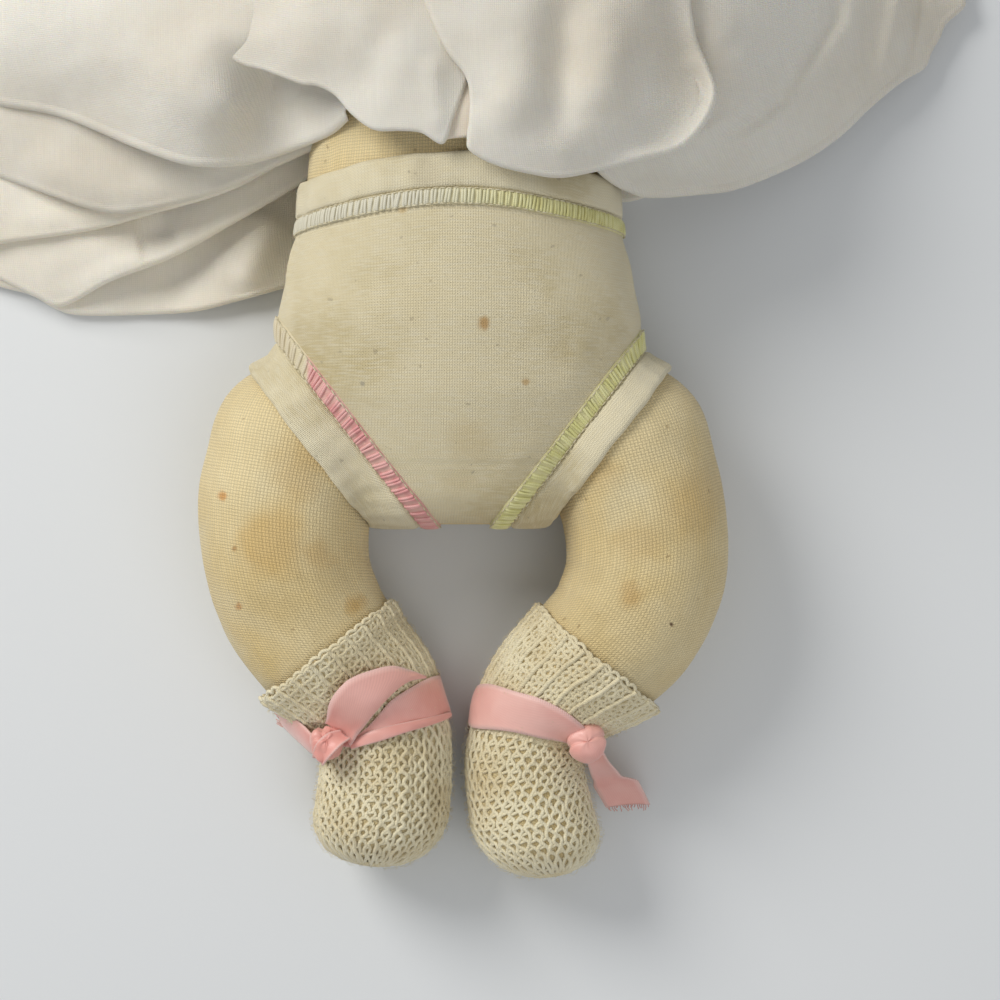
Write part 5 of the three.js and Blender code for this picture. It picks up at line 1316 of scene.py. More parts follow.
# The folds: pixels with heights in millimetres, and ridges as a line of pixels, a height and a half width
ROPE = [(604, 168), (640, 158), (675, 150), (695, 135), (712, 110), (716, 90), (710, 72), (700, 50)]
# The lower wings and the corner on the table take the paler lawn, painted lighter against shade
FOLDS = {
    "gown_wing_lowest": dict(
        lower=[(-78, 262), (-60, 270), (0, 287), (30, 295), (55, 309), (78, 315), (130, 315), (190, 312),
               (230, 303), (285, 288), (312, 282)],
        upper=[(-78, -30), (0, -30), (120, -16), (225, 10), (300, 40)],
        places=[(-78, 262, 3), (0, 280, 3.4), (70, 310, 3.2), (190, 308, 3.8), (285, 285, 3.4), (0, 200, 5),
                (120, 250, 4.4), (180, 270, 3.4), (245, 262, 6.5), (282, 225, 4.4), (285, 170, 6),
                (150, 120, 9), (0, 120, 8), (320, 120, 4), (-78, 130, 7), (0, -30, 8), (225, 10, 6),
                (300, 40, 4)],
        ridges=[([(232, 296), (252, 262), (276, 205)], 2.6, 5.0),
                ([(150, 300), (190, 268), (240, 215)], -1.6, 5.0)],
        seed=1.0, roll=1.3, ends=(12, 0), material=LAWN_PAINTED_LIGHT, nodes=("gown_skirt_back",)),
    "gown_wing_low": dict(
        lower=[(-78, 256), (-40, 266), (0, 280), (36, 297), (62, 306), (110, 281), (170, 258), (230, 225),
               (290, 190), (316, 172)],
        upper=[(-78, 100), (0, 100), (150, 100), (250, 100), (330, 110)],
        places=[(-78, 256, 6), (0, 280, 6), (62, 306, 5), (110, 281, 8.5), (170, 258, 11), (230, 225, 13),
                (290, 190, 15), (316, 172, 18), (0, 240, 8), (100, 250, 10.5), (150, 225, 8.5),
                (200, 200, 11), (100, 110, 13), (-78, 110, 10), (300, 110, 20)],
        ridges=[([(175, 225), (150, 238), (135, 240)], -2.0, 4.0),
                ([(60, 300), (120, 268), (200, 232)], 1.0, 3.0)],
        seed=2.0, roll=1.5, ends=(13, 0), material=LAWN_PAINTED_LIGHT),
    "gown_wing_middle": dict(
        lower=[(-78, 250), (-50, 250), (0, 243), (90, 230), (150, 214), (230, 190), (300, 152), (322, 140)],
        upper=[(-78, 90), (0, 90), (150, 90), (250, 90), (335, 95)],
        places=[(-78, 250, 9), (0, 243, 10.5), (90, 230, 12.5), (150, 214, 15), (230, 190, 17.5),
                (300, 152, 23), (322, 140, 30), (0, 210, 12), (100, 200, 14), (200, 180, 17.5),
                (-78, 95, 12), (100, 95, 18), (320, 95, 34)],
        ridges=[([(0, 222), (80, 216), (150, 200), (230, 172)], 1.1, 4.0)],
        seed=3.0, roll=1.4, ends=(14, 0), material=LAWN_PAINTED_LIGHT),
    "gown_wing_high": dict(
        lower=[(-78, 166), (-50, 170), (0, 178), (50, 195), (92, 209), (130, 212), (200, 197), (262, 172),
               (320, 146)],
        upper=[(-78, 50), (0, 50), (150, 50), (250, 60), (335, 80)],
        places=[(-78, 166, 12), (0, 178, 14.5), (50, 195, 16.5), (92, 209, 18), (130, 212, 19),
                (200, 197, 21), (262, 172, 24), (320, 146, 33), (0, 140, 17), (80, 165, 20), (150, 180, 21),
                (-78, 60, 14), (120, 80, 25), (320, 85, 40), (230, 160, 26)],
        ridges=[([(20, 150), (80, 185), (130, 196), (200, 184)], 1.6, 5.0),
                ([(215, 192), (262, 174), (300, 156)], 0.8, 2.0)],
        seed=4.0, roll=1.6, ends=(15, 0)),
    "gown_left_fold": dict(
        lower=[(-78, 92), (-50, 97), (0, 105), (60, 116), (130, 145), (178, 162), (210, 166), (250, 163),
               (292, 150), (330, 134), (348, 119)],
        upper=[(-78, -38), (0, -38), (120, -38), (235, -30), (330, -18), (400, -18)],
        places=[(-78, 92, 15), (0, 105, 20), (60, 115, 23), (130, 145, 30), (180, 163, 34), (210, 165, 35),
                (250, 163, 32.5), (290, 150, 34), (330, 134, 43), (348, 119, 49), (0, 40, 27),
                (80, 60, 34.5), (150, 90, 40.5), (205, 110, 44.5), (230, 100, 44), (228, 60, 46),
                (225, 0, 48), (150, 0, 43), (60, 0, 35), (0, -38, 27), (-78, -38, 14), (262, 115, 35),
                (290, 115, 35.5), (315, 110, 40), (278, 78, 36.5), (320, 60, 46), (340, 40, 52),
                (400, -10, 54), (250, 20, 49.6), (268, 10, 51), (252, 46, 47.6), (262, 62, 41)],
        ridges=[([(225, -30), (222, 40), (222, 80), (220, 140)], 0.6, 8.0),
                ([(60, 20), (110, 90), (160, 140)], -0.8, 8.0),
                ([(90, -20), (150, 60), (190, 120)], 0.8, 8.0)],
        seed=5.0, roll=1.9, columns=190, rows=90, tuck=6.0, ends=(16, 0), nodes=("gown_skirt_front",)),
    "gown_belly_fold": dict(
        lower=[(224, 54), (238, 62), (248, 66), (265, 70), (300, 83), (316, 85), (334, 94), (352, 114),
               (374, 129), (400, 130), (421, 132), (443, 143), (453, 118), (463, 92), (470, 74)],
        upper=[(212, -18), (300, -18), (380, -18), (432, -18), (446, 0), (462, 40)],
        places=[(224, 54, 46.0), (238, 62, 46.8), (248, 66, 47.4), (232, 20, 47.9), (212, -18, 46.3),
                (252, 20, 50.2), (250, 46, 49.3), (272, 40, 53), (300, 83, 53), (300, 20, 57),
                (334, 94, 55), (352, 114, 56), (375, 130, 57.5), (421, 131, 59), (443, 143, 59),
                (400, 70, 61), (420, 0, 61), (474, 74, 58), (460, 100, 58.5), (330, -10, 59.5),
                (446, 40, 60)],
        ridges=[([(300, -18), (310, 30), (300, 80)], 0.8, 5.0),
                ([(352, 100), (375, 60), (390, 10)], -0.7, 4.0),
                ([(440, 140), (436, 90), (432, 50)], 0.9, 3.0)],
        seed=6.0, roll=1.1, columns=170, rows=80, crumple=0.35, tuck=5.0),
    "gown_hem_corner": dict(
        lower=[(438, 141), (452, 138), (466, 137), (490, 136)],
        upper=[(460, 88), (470, 82), (478, 80), (490, 84)],
        places=[(440, 141, 57.3), (482, 136, 57.6), (460, 88, 57.0), (490, 84, 57.4), (466, 110, 57.8)],
        seed=7.0, roll=0.6, columns=30, rows=24, crumple=0.1, material=LAWN_HEM),
    "gown_right_fold": dict(
        lower=[(420, -18), (428, 10), (447, 50), (465, 74), (470, 96), (469, 119), (467, 137), (470, 150),
               (495, 164), (530, 173), (560, 177), (595, 171), (640, 160), (675, 151), (696, 136),
               (713, 110), (717, 90), (710, 68), (698, 40), (692, 10), (690, -20)],
        upper=[(432, -24), (480, -22), (560, -20), (640, -20), (684, -24)],
        places=[(420, -18, 62), (447, 50, 62), (480, 100, 61.5), (466, 140, 60.5), (495, 165, 59),
                (530, 173, 57.5), (560, 177, 56), (595, 171, 53.5), (640, 159, 50), (675, 150, 48.5),
                (695, 135, 48.5), (713, 110, 49.5), (716, 90, 50.5), (700, 45, 52), (690, -10, 53),
                (500, 100, 64), (500, 0, 64.5), (560, 60, 61), (620, 50, 61), (620, 120, 57),
                (660, 110, 52), (685, 80, 49), (650, 0, 59), (560, 150, 59), (530, 130, 61.5)],
        ridges=[(ROPE, 2.4, 2.2), ([(690, 60), (699, 85), (692, 108), (668, 130), (630, 143)], -1.2, 3.6),
                ([(565, -18), (563, 60), (556, 150)], -2.2, 4.5),
                ([(600, -18), (612, 50), (600, 120)], 1.2, 6.0),
                ([(520, -18), (524, 60), (510, 140)], 0.8, 5.0),
                ([(660, -18), (676, 30), (690, 70)], -1.6, 3.5)],
        seed=8.0, roll=1.3, columns=230, rows=90, crumple=0.35, tuck=5.0),
    "gown_right_wing": dict(
        lower=[(588, 158), (597, 170), (610, 181), (626, 190), (650, 197), (700, 194), (740, 188),
               (800, 163), (840, 137), (872, 107), (905, 80), (940, 62), (965, 30), (985, 0), (1000, -30)],
        upper=[(600, 90), (640, 40), (690, -20), (740, -34), (850, -36), (930, -38), (975, -40)],
        places=[(597, 170, 45), (626, 190, 35), (650, 197, 30), (700, 194, 23), (740, 188, 18),
                (800, 163, 12), (840, 137, 9.5), (872, 107, 8), (940, 62, 6), (985, 0, 5.5), (1000, -30, 5),
                (640, 165, 42), (690, 160, 38), (720, 120, 39), (730, 90, 42), (722, 40, 47), (760, 60, 38),
                (790, 110, 24), (800, 0, 34), (850, 60, 20), (905, 20, 13), (975, -40, 7), (640, 60, 46),
                (690, -10, 50), (740, -30, 46)],
        ridges=[([(782, 84), (747, 110), (712, 130), (680, 144)], 1.6, 2.0),
                ([(790, 92), (756, 118), (716, 140)], -1.8, 2.2),
                ([(845, -25), (835, 20), (806, 60), (778, 98), (730, 138)], -1.9, 2.2),
                ([(862, -25), (850, 20), (822, 66), (790, 110)], 1.3, 3.2),
                ([(906, -30), (888, 50), (874, 100)], 2.0, 2.4),
                ([(930, -30), (914, 40), (900, 76)], -1.2, 2.0),
                ([(740, 40), (745, 80), (720, 130)], 1.0, 4.0),
                ([(760, 150), (700, 172), (650, 180)], 0.9, 4.0)],
        seed=9.0, roll=1.8, columns=200, rows=90, tuck=6.0, ends=(0, 5)),
    "gown_table_corner": dict(
        lower=[(560, 176), (590, 192), (614, 201), (640, 199), (690, 178), (770, 140), (860, 80), (930, 20),
               (960, -30)],
        upper=[(610, 40), (680, 0), (800, -34), (900, -38), (960, -40)],
        places=[(560, 176, 3), (614, 201, 3), (640, 199, 3.2), (690, 178, 4), (770, 140, 3.6),
                (860, 80, 3.4), (960, -30, 3), (640, 100, 4), (760, 0, 5), (900, -40, 3)],
        seed=10.0, roll=1.0, columns=70, rows=30, crumple=0.2, material=LAWN_PAINTED_LIGHT),
}
for name, fold in FOLDS.items():
    cloth(name, **fold)


def under_sheet():
    """The back of the skirt where the doll lies on it: flat on the table from the yoke to under the seat."""
    x, y = np.meshgrid(np.linspace(-50, 50, 90), np.linspace(48, 72, 26))
    z = 0.5 + 0.12 * np.sin(x * 0.9 + np.sin(y * 0.3)) + 3.2 * smoothstep(np.abs(x), 36, 50)
    piece = grid_piece("gown_under_doll", np.stack([x, y, z], 2), LAWN_PAINTED_LIGHT, thick=0.3)
    dress(piece, "torso", "lawn")


under_sheet()


# Yoke, collar and sleeves
def bake(piece):
    """Put a piece's modifiers into its mesh."""
    graph = bpy.context.evaluated_depsgraph_get()
    piece.data = bpy.data.meshes.new_from_object(piece.evaluated_get(graph))
    piece.modifiers.clear()
    shade_smooth(piece)


def cut_out(piece, cutters):
    """Take solid cutters out of a piece, then remove them."""
    for cutter in cutters:
        step = piece.modifiers.new("cut", "BOOLEAN")
        step.operation, step.solver, step.object = "DIFFERENCE", "EXACT", cutter
    bake(piece)
    for cutter in cutters:
        bpy.data.objects.remove(cutter)


def ball_piece(name, centre, half, material=None, segments=48, rings=32):
    """A smooth ellipsoid as an object."""
    mesh = bpy.data.meshes.new(name)
    shape = bmesh.new()
    bmesh.ops.create_uvsphere(shape, u_segments=segments, v_segments=rings, radius=1)
    for vertex in shape.verts:
        vertex.co = Vector([(c + v * h) * MM for c, v, h in zip(centre, vertex.co, half)])
    shape.to_mesh(mesh)
    shape.free()
    return link(name, mesh, material)


def torso_ring(y, grow, count):
    """Points round the stuffed body at a height along Y, grown outward by a number or by one for each."""
    half, back, front = (values[0] for values in torso_sections([y]))
    x = (half + grow) * np.cos(turns(count))
    z = (back + front) / 2 + ((front - back) / 2 + grow) * np.sin(turns(count))
    return np.stack([x, np.full(count, y), np.maximum(z, 0.5)], 1)


def binding(name, rings, radius, body="torso", material=LAWN, slot="lawn", nodes=()):
    """Round bands that close on themselves."""
    dress(tubes(name, [looped(ring) for ring in rings], radius, material, sides=8), body, slot, *nodes)


def make_yoke():
    angle = turns(240)
    gathers = 0.45 * np.sin(angle * 46 + 1.3 * np.sin(angle * 7)) + 0.25 * np.sin(angle * 71)
    rings = []
    for y in np.linspace(YOKE_LOW, YOKE_HIGH, 60):
        low = 1 - smoothstep(y, YOKE_LOW, YOKE_LOW + 9)
        rings.append(torso_ring(y, 0.95 + low * gathers, 240))
    yoke = grid_piece("gown_yoke_cloth", np.array(rings), LAWN, closed=True, thick=0.5)
    cut_out(yoke, [ball_piece("room", SHOULDER * [sign, 1, 1], [SHOULDER_ROOM] * 3) for sign in (1, -1)])
    dress(yoke, "torso", "lawn", "gown_yoke")
    binding("gown_yoke_piping", [torso_ring(YOKE_LOW + up, 1.7, 200) for up in (0.2, 1.5)], 0.45)


def make_collar():
    angle = turns(260)
    rings = []
    for share in np.linspace(0, 1, 9):
        ring = torso_ring(102.0, 0.6 + 5.0 * share, 260)
        ring[:, 1] += share * 1.1 * np.sin(angle * 19 + 1.5 * np.sin(angle * 5)) * (1 - 0.4 * share)
        rings.append(ring)
    frill = grid_piece("gown_neck_frill", np.array(rings), LAWN, closed=True, thick=0.35)
    dress(frill, "torso", "lawn", "gown_collar")
    binding("gown_frill_hem", rings[-1:], 0.4)
    binding("gown_neck_binding", [torso_ring(101.9, 0.95, 200)], 0.6)


class Arm:
    """An arm's axis from the shoulder to the wrist, with its frame."""

    def __init__(self, sign):
        self.start = SHOULDER * [sign, 1, 1]
        reach = WRIST * [sign, 1, 1] - self.start
        self.length = np.linalg.norm(reach)
        self.ahead = reach / self.length
        self.side = unit(np.cross(UP, self.ahead))
        self.over = np.cross(self.ahead, self.side)

    def rings(self, stations, count, radius):
        """Rings at distances from the shoulder; radius(distance, angle) gives their size."""
        angle = turns(count)
        out = []
        for d in stations:
            r = radius(d, angle)
            round_axis = np.outer(np.cos(angle) * r, self.side) + np.outer(np.sin(angle) * r, self.over)
            ring = self.start + self.ahead * d + round_axis
            ring[:, 2] = np.maximum(ring[:, 2], 0.4)
            out.append(ring)
        return np.array(out)

    def radius(self, d):
        tube = SHOULDER_RADIUS + (WRIST_RADIUS - SHOULDER_RADIUS) * np.clip(d / self.length, 0, 1)
        return np.where(d < 0, np.sqrt(np.maximum(SHOULDER_RADIUS ** 2 - d ** 2, 0)), tube)


def make_arm(side, sign):
    arm, body = Arm(sign), side + "_arm"
    dome = -SHOULDER_RADIUS * np.cos(np.linspace(0.1, 1.5, 12))
    end = [arm.length - 0.4, arm.length]
    stations = np.concatenate([dome, np.linspace(1, arm.length - 1.2, 46), end])

    def tied(d, angle):
        drawn = smoothstep(d, arm.length - 6, arm.length - 1) * 1.6
        pinch = 0.25 * np.sin(angle * 17) * smoothstep(d, arm.length - 9, arm.length - 2)
        return arm.radius(d) - drawn + pinch - 0.1

    cloth_skin = muslin_material("muslin_" + body)
    cover = grid_piece(body, arm.rings(stations, 72, tied), cloth_skin, closed=True, ends=True)
    dress(cover, body, "muslin", body + "_cover", body + "_stuffing")

    sleeve_radius, sleeve_end = SHOULDER_RADIUS + 1, arm.length - CUFF - 0.2
    dome = -sleeve_radius * np.cos(np.linspace(0.55, 1.5, 12))
    stations = np.concatenate([dome, np.linspace(1, sleeve_end, 64)])

    def puffed(d, angle):
        middle = math.sin(math.pi * np.clip(d / arm.length, 0, 1))
        gather = smoothstep(d, sleeve_end - 16, sleeve_end) + 0.8 * smoothstep(-d, -12, 4)
        pleat = 0.38 * np.sin(angle * 24 + 1.2 * np.sin(angle * 5 + sign)) + 0.2 * np.sin(angle * 41)
        fold = 0.5 * np.sin(angle * 7 + d * 0.22) * middle
        base = np.sqrt(max(sleeve_radius ** 2 - d ** 2, 0)) if d < 0 else arm.radius(d) + 1.0
        return base + SLEEVE_PUFF * middle * 0.9 + pleat * gather + fold * 0.9

    rings = arm.rings(stations, 220, puffed)
    sleeve = grid_piece(side + "_sleeve_cloth", rings, LAWN, closed=True, thick=0.4)
    dress(sleeve, body, "lawn", side + "_sleeve")

    def banded(d, angle):
        return arm.radius(d) + 0.85 + 0.12 * np.sin(angle * 30)

    def edged(d, angle):
        return arm.radius(d) + 1.0 + 0 * angle

    band = arm.rings(np.linspace(arm.length - CUFF, arm.length - 0.2, 12), 120, banded)
    cuff = grid_piece(side + "_cuff", band, LAWN, closed=True, thick=0.6)
    dress(cuff, body, "lawn", side + "_sleeve_cuff")
    binding(side + "_cuff_edging", arm.rings([arm.length - CUFF, arm.length - 0.3], 120, edged), 0.42, body)


# Porcelain: tinted bisque, with a painted blush where the skin would be rosy
def bisque_material(name, painted=False):
    s = Surface(name, roughness=0.42, specular=0.45, coat=0.06, subsurface=0.22)
    cloud = s.cloud(55.0, 3.0)
    colour = s.tones(cloud, 0.3, 0.75, (240, 214, 196), (233, 202, 182))
    colour = s.tint(colour, s.cloud(700.0, 1.0), 0.76, 0.8, 0.3, (150, 118, 96))
    blush = s.times(s.attribute("blush"), s.level(s.cloud(900.0, 2.0), 0.5, 0.7))
    colour = s.mix(blush, colour, linear((224, 140, 122)))
    normal = s.bump(s.cloud(2400.0, 2.0), 0.03, 0.35)
    if painted:
        colour = s.mix(s.attribute("lips"), colour, linear((196, 96, 88)))
        strokes = s.noise(s.stretched(s.object, 1500.0, 260.0, 260.0), 1.0, 3.0, 0.6, 0.8)
        brown = s.tones(strokes, 0.35, 0.65, (132, 96, 62), (164, 126, 84))
        edge = s.plus(s.attribute("hair"), s.level(strokes, 0.5, -0.25))
        colour = s.mix(s.ramp(edge, 0.4, 0.62), colour, brown)
        brow = s.times(s.attribute("brow"), s.ramp(strokes, 0.25, 0.6, 0.45, 1.0))
        colour = s.mix(brow, colour, linear((140, 100, 66)))
        normal = s.bump(s.times(strokes, s.attribute("hair")), 0.25, 0.6, normal)
    return s.finish(colour, normal, s.level(cloud, 0.12, 0.36))


HEAD_CENTRE, HEAD_HALF = np.array([0, 158.5, 44.3]), np.array([43.5, 46.5, 44.3])
# Soft forms of the face: cheeks, chin, brow and eye sockets, as direction, width and height
FACE_FORMS = [(0.36, -0.38, 0.24, 2.2), (-0.36, -0.38, 0.24, 2.2), (0, -0.72, 0.16, 2.4), (0, 0.45, 0.5, 1.6),
              (0.36, -0.13, 0.16, -2), (-0.36, -0.13, 0.16, -2)]
EYE_X, EYE_Y, EYE_DEPTH, EYE_RADIUS, LID_RADIUS, LID_SWELL = 15.5, 150.0, 6.2, 7.0, 7.8, 8.75
OPENING_SHIFT = 0.45
NECK_PROFILE = [(17.2, 97.3), (19.4, 97.4), (19.5, 98.2), (19.4, 99.8), (18.4, 100.0), (15.2, 100.4),
                (14.5, 101.4), (14.3, 104), (14.3, 108), (14.7, 112), (16.4, 116), (19.6, 120), (22, 124)]


def head_surface(d):
    """Points of the plain head in directions from its centre."""
    face, jaw = smoothstep(d[:, 2], 0, 0.9), smoothstep(-d[:, 1], 0.1, 1)
    point = d * HEAD_HALF
    point[:, 0] *= 1 - 0.12 * jaw * face
    for x, y, wide, high in FACE_FORMS:
        point += d * (high * np.exp(-((d[:, 0] - x) ** 2 + (d[:, 1] - y) ** 2) / wide ** 2) * face)[:, None]
    return point + HEAD_CENTRE


def head_height(x, y):
    """Height of the plain face over a place."""
    d = np.array([x / HEAD_HALF[0], (y - HEAD_CENTRE[1]) / HEAD_HALF[1]])
    return head_surface(np.array([[*d, math.sqrt(max(1 - d @ d, 0.01))]]))[0, 2]


def eye_centre(sign):
    return np.array([sign * EYE_X, EYE_Y, head_height(EYE_X, EYE_Y) - EYE_DEPTH])


def hill(x, y, at, wide, tall):
    return np.exp(-((x - at[0]) / wide) ** 2 - ((y - at[1]) / tall) ** 2)


def pair(x, y, at, wide, tall):
    """The same hill on both sides of the face."""
    return hill(x, y, at, wide, tall) + hill(x, y, (-at[0], at[1]), wide, tall)


def eye_opening(centre, sign):
    """A solid that cuts the almond-shaped opening between the lids."""
    turn = turns(56)
    tall = np.sign(np.sin(turn)) * np.abs(np.sin(turn)) ** 1.25 * np.where(np.sin(turn) > 0, 3.6, 2.9)
    x, y = centre[0] + sign * OPENING_SHIFT + np.cos(turn) * 6.1, centre[1] + tall
    rings = [np.column_stack([x, y, np.full(56, z)]) for z in (centre[2] + 1.5, centre[2] + 16)]
    return grid_piece("opening", np.array(rings), None, closed=True, ends=True)


def make_head():
    rows, columns = 230, 340
    theta = np.linspace(0.012, math.pi - 0.02, rows)
    even = np.linspace(-math.pi, math.pi, columns, endpoint=False)
    t, p = np.meshgrid(theta, even - 0.45 * np.sin(even), indexing="ij")
    d = np.stack([np.sin(t) * np.sin(p), np.cos(t), np.sin(t) * np.cos(p)], 2).reshape(-1, 3)
    points = head_surface(d)
    x, y, front = points[:, 0], points[:, 1], smoothstep(d[:, 2], 0.25, 0.6)
    # Nose, nostril wings, philtrum and lips
    rise = 3.7 * hill(x, y, (0, 140.4), 3.7, 3.2) + 0.8 * hill(x, y, (0, 147), 3.4, 5.5)
    rise += 1.2 * pair(x, y, (3.4, 139.2), 1.8, 1.7) - 1.2 * pair(x, y, (1.7, 137.0), 0.9, 0.8)
    rise -= 0.5 * hill(x, y, (0, 134.9), 1.1, 1.8)
    across = np.clip(1 - (x / 6.2) ** 2, 0, 1) ** 2
    curve = np.cos(x * 1.5) * across
    upper_lip = 131.9 + 0.35 * curve - 0.012 * x * x
    rise += across * 1.5 * np.exp(-((y - upper_lip) / 1.25) ** 2)
    rise += across * 1.8 * np.exp(-((y - 128.5 + 0.02 * x * x) / 1.5) ** 2)
    rise -= across ** 0.7 * 0.9 * np.exp(-((y - 130.3 + 0.01 * x * x) / 0.5) ** 2)
    rise += 1.2 * hill(x, y, (0, 129.8), 9.0, 6.0)
    points += d * (rise * front)[:, None]
    # Lids swell over the eyeballs
    for sign in (1, -1):
        centre = eye_centre(sign)
        gap = np.hypot(points[:, 0] - centre[0], (points[:, 1] - centre[1]) * 1.05)
        over = centre[2] + np.sqrt(np.maximum(LID_SWELL ** 2 - gap ** 2, 0))
        swell = np.maximum(over - points[:, 2], 0) * (gap < LID_SWELL) * front
        points[:, 2] += swell * smoothstep(-gap, -LID_SWELL, -7.2)
    # Moulded hair: low waves over the scalp behind a soft hairline
    line = 0.64 - 0.2 * d[:, 0] ** 2 - 0.9 * smoothstep(-d[:, 2], -0.35, 0.6)
    uneven = 0.012 * np.sin(d[:, 0] * 23) + 0.008 * np.sin(d[:, 0] * 61)
    hair = smoothstep(d[:, 1] + uneven, line - 0.07, line + 0.05) * (1 - smoothstep(-d[:, 1], 0.55, 0.7))
    waves = lumps(points * [1, 0.6, 0.6], 7.0, 3.0) + 0.6 * lumps(points, 3.2, 5.0)
    points += d * (hair * (0.5 + 0.5 * waves))[:, None]
    points[:, 2] = np.maximum(points[:, 2], 0.35)
    grid, painted = points.reshape(rows, columns, 3), bisque_material("bisque_painted", True)
    head = grid_piece("bisque_head_shell", grid, painted, closed=True, ends=True, flip=True)
    # Paint; the last two points are the ends of the crown and the neck
    blush = 0.55 * pair(x, y, (17, 140), 8, 7)
    blush += 0.25 * hill(x, y, (0, 140), 4, 3) + 0.2 * hill(x, y, (0, 118), 8, 4)
    lips = smoothstep(2.7 * np.sqrt(across) - np.abs(y - 130.1 - 0.25 * curve), -0.2, 0.8) * (across > 0.02)
    brow_y = 160.6 - 0.03 * (np.abs(x) - 14) ** 2
    brow = smoothstep(np.abs(x), 7, 10) * smoothstep(-np.abs(x), -24, -17)
    brow = brow * np.exp(-((y - brow_y) / 0.75) ** 2)
    for name, values, end in (("blush", blush * front, 0), ("lips", lips * front, 0),
                              ("brow", brow * front * 0.8, 0), ("hair", hair, 1)):
        paint(head, name, np.append(values, [end, end]))
    thicken(head, 0.7, -1)
    cut_out(head, [eye_opening(eye_centre(sign), sign) for sign in (1, -1)])
    dress(head, "head", "bisque", "bisque_head")


def make_neck(material):
    angle = turns(120)
    rings = []
    for r, y in smooth_path(NECK_PROFILE, 70):
        z = np.maximum(NECK_Z + r * np.sin(angle), 0.5)
        rings.append(np.column_stack([r * np.cos(angle), np.full(120, y), z]))
    dress(grid_piece("bisque_neck", np.array(rings), material, closed=True, flip=True), "head", "bisque")


def make_ear(side, sign, material):
    rows, columns = 40, 60
    t, a = np.meshgrid(np.linspace(0, 1, rows), turns(columns), indexing="ij")
    rim = 1 - 0.1 * np.sin(a) - 0.12 * np.cos(2 * a)
    along, across = 8.2 * t * rim * np.sin(a), 5.4 * t * rim * np.cos(a)
    high = 2.6 * np.sqrt(np.maximum(1 - t ** 2, 0)) + 0.9 * np.exp(-((t - 0.8) / 0.13) ** 2)
    high -= 1.4 * np.exp(-((t - 0.35) / 0.3) ** 2) * (0.7 + 0.3 * np.cos(a))
    high += 0.5 * np.exp(-((t - 0.55) / 0.1) ** 2) * smoothstep(-np.cos(a), -0.2, 0.8)
    grid = np.stack([sign * (HEAD_HALF[0] - 1.6 + high), 146 + along, 45 + across], 2)
    ear = grid_piece(side + "_ear", grid, material, closed=True, flip=sign < 0)
    paint(ear, "blush", np.repeat(0.3 * np.exp(-((np.linspace(0, 1, rows) - 0.5) / 0.3) ** 2), columns))
    dress(ear, "head", "bisque")


def glass_material():
    """Blue paperweight glass: pupil, rayed iris with a dark rim, and a faintly veined white."""
    s = Surface("glass_eye", roughness=0.08, specular=0.6, coat=0.6)
    dx = s.math("SUBTRACT", s.math("ABSOLUTE", s.part(s.object, 0)), EYE_X * MM)
    dy = s.math("SUBTRACT", s.part(s.object, 1), (EYE_Y - 0.819 * EYE_RADIUS) * MM)
    dz = s.math("SUBTRACT", s.part(s.object, 2), (eye_centre(1)[2] + 0.574 * EYE_RADIUS) * MM)
    square = s.plus(s.plus(s.times(dx, dx), s.times(dy, dy)), s.times(dz, dz))
    gap = s.times(s.math("SQRT", square), 1 / MM)
    iris = s.tones(s.cloud(1500.0, 3.0, 0.6, 0.5), 0.35, 0.65, (74, 104, 132), (132, 160, 178))
    iris = s.tint(iris, gap, 2.5, 3.3, 1.0, (38, 52, 70))
    vein = s.cloud(300.0, 4.0)
    white = s.tones(vein, 0.45, 0.7, (240, 238, 232), (226, 218, 208))
    colour = s.mix(s.ramp(gap, 3.2, 3.45), iris, white)
    colour = s.mix(s.ramp(gap, 1.25, 1.45), linear((8, 8, 10)), colour)
    return s.finish(colour, s.bump(vein, 0.02, 0.2))


def wax_material():
    s = Surface("lid_wax", roughness=0.4, specular=0.4, subsurface=0.15)
    colour = s.tones(s.cloud(220.0, 3.0), 0.3, 0.7, (236, 206, 190), (226, 190, 174))
    return s.finish(colour, s.bump(s.cloud(1800.0, 2.0), 0.03, 0.3))


EYE_GLASS, LID_WAX = glass_material(), wax_material()
LASH = thread_material("lash", (72, 50, 36), (48, 32, 24))
LID_TILT, LID_REACH, LID_WALL = 0.35, 101, 0.45


def make_eye(side, sign):
    centre = eye_centre(sign)
    eye = ball_piece(side + "_eye_ball", centre, [EYE_RADIUS] * 3, EYE_GLASS, 56, 40)
    dress(eye, "eyes", "glass_eye", side + "_glass_eye")
    # The lid is a shell over the side that faces up when the doll lies down
    axis, across = np.array([0, -math.sin(LID_TILT), math.cos(LID_TILT)]), np.array([1.0, 0, 0])
    ring = np.outer(np.cos(turns(72)), across) + np.outer(np.sin(turns(72)), np.cross(axis, across))
    rings = []
    for angle in np.linspace(0.004, math.radians(LID_REACH), 34):
        rings.append(centre + (axis * math.cos(angle) + ring * math.sin(angle)) * (LID_RADIUS - 0.05))
    lid = grid_piece(side + "_lid", np.array(rings), LID_WAX, closed=True)
    thicken(lid, LID_WALL, -1)
    dress(lid, "eyes", "wax", side + "_eyelid")
    # Painted lashes round the opening
    lashes = []
    for share in np.linspace(-0.9, 0.9, 13):
        edge = centre[1] - 2.8 * (1 - share ** 2) ** 0.6
        path = []
        for step in np.linspace(0, 1, 6):
            x = centre[0] + sign * OPENING_SHIFT + share * (5.9 + 1.2 * step)
            y = edge - 0.5 - 2.3 * step
            gap = math.hypot(x - centre[0], (y - centre[1]) * 1.05)
            over = centre[2] + math.sqrt(max(LID_SWELL ** 2 - gap ** 2, 0))
            path.append([x, y, max(head_height(x, y), over) + 0.03])
        lashes.append(path)
    line = tubes(side + "_painted_lashes", lashes, 0.16, LASH, sides=5, taper=3, flat=0.5)
    dress(line, "head", "bisque")


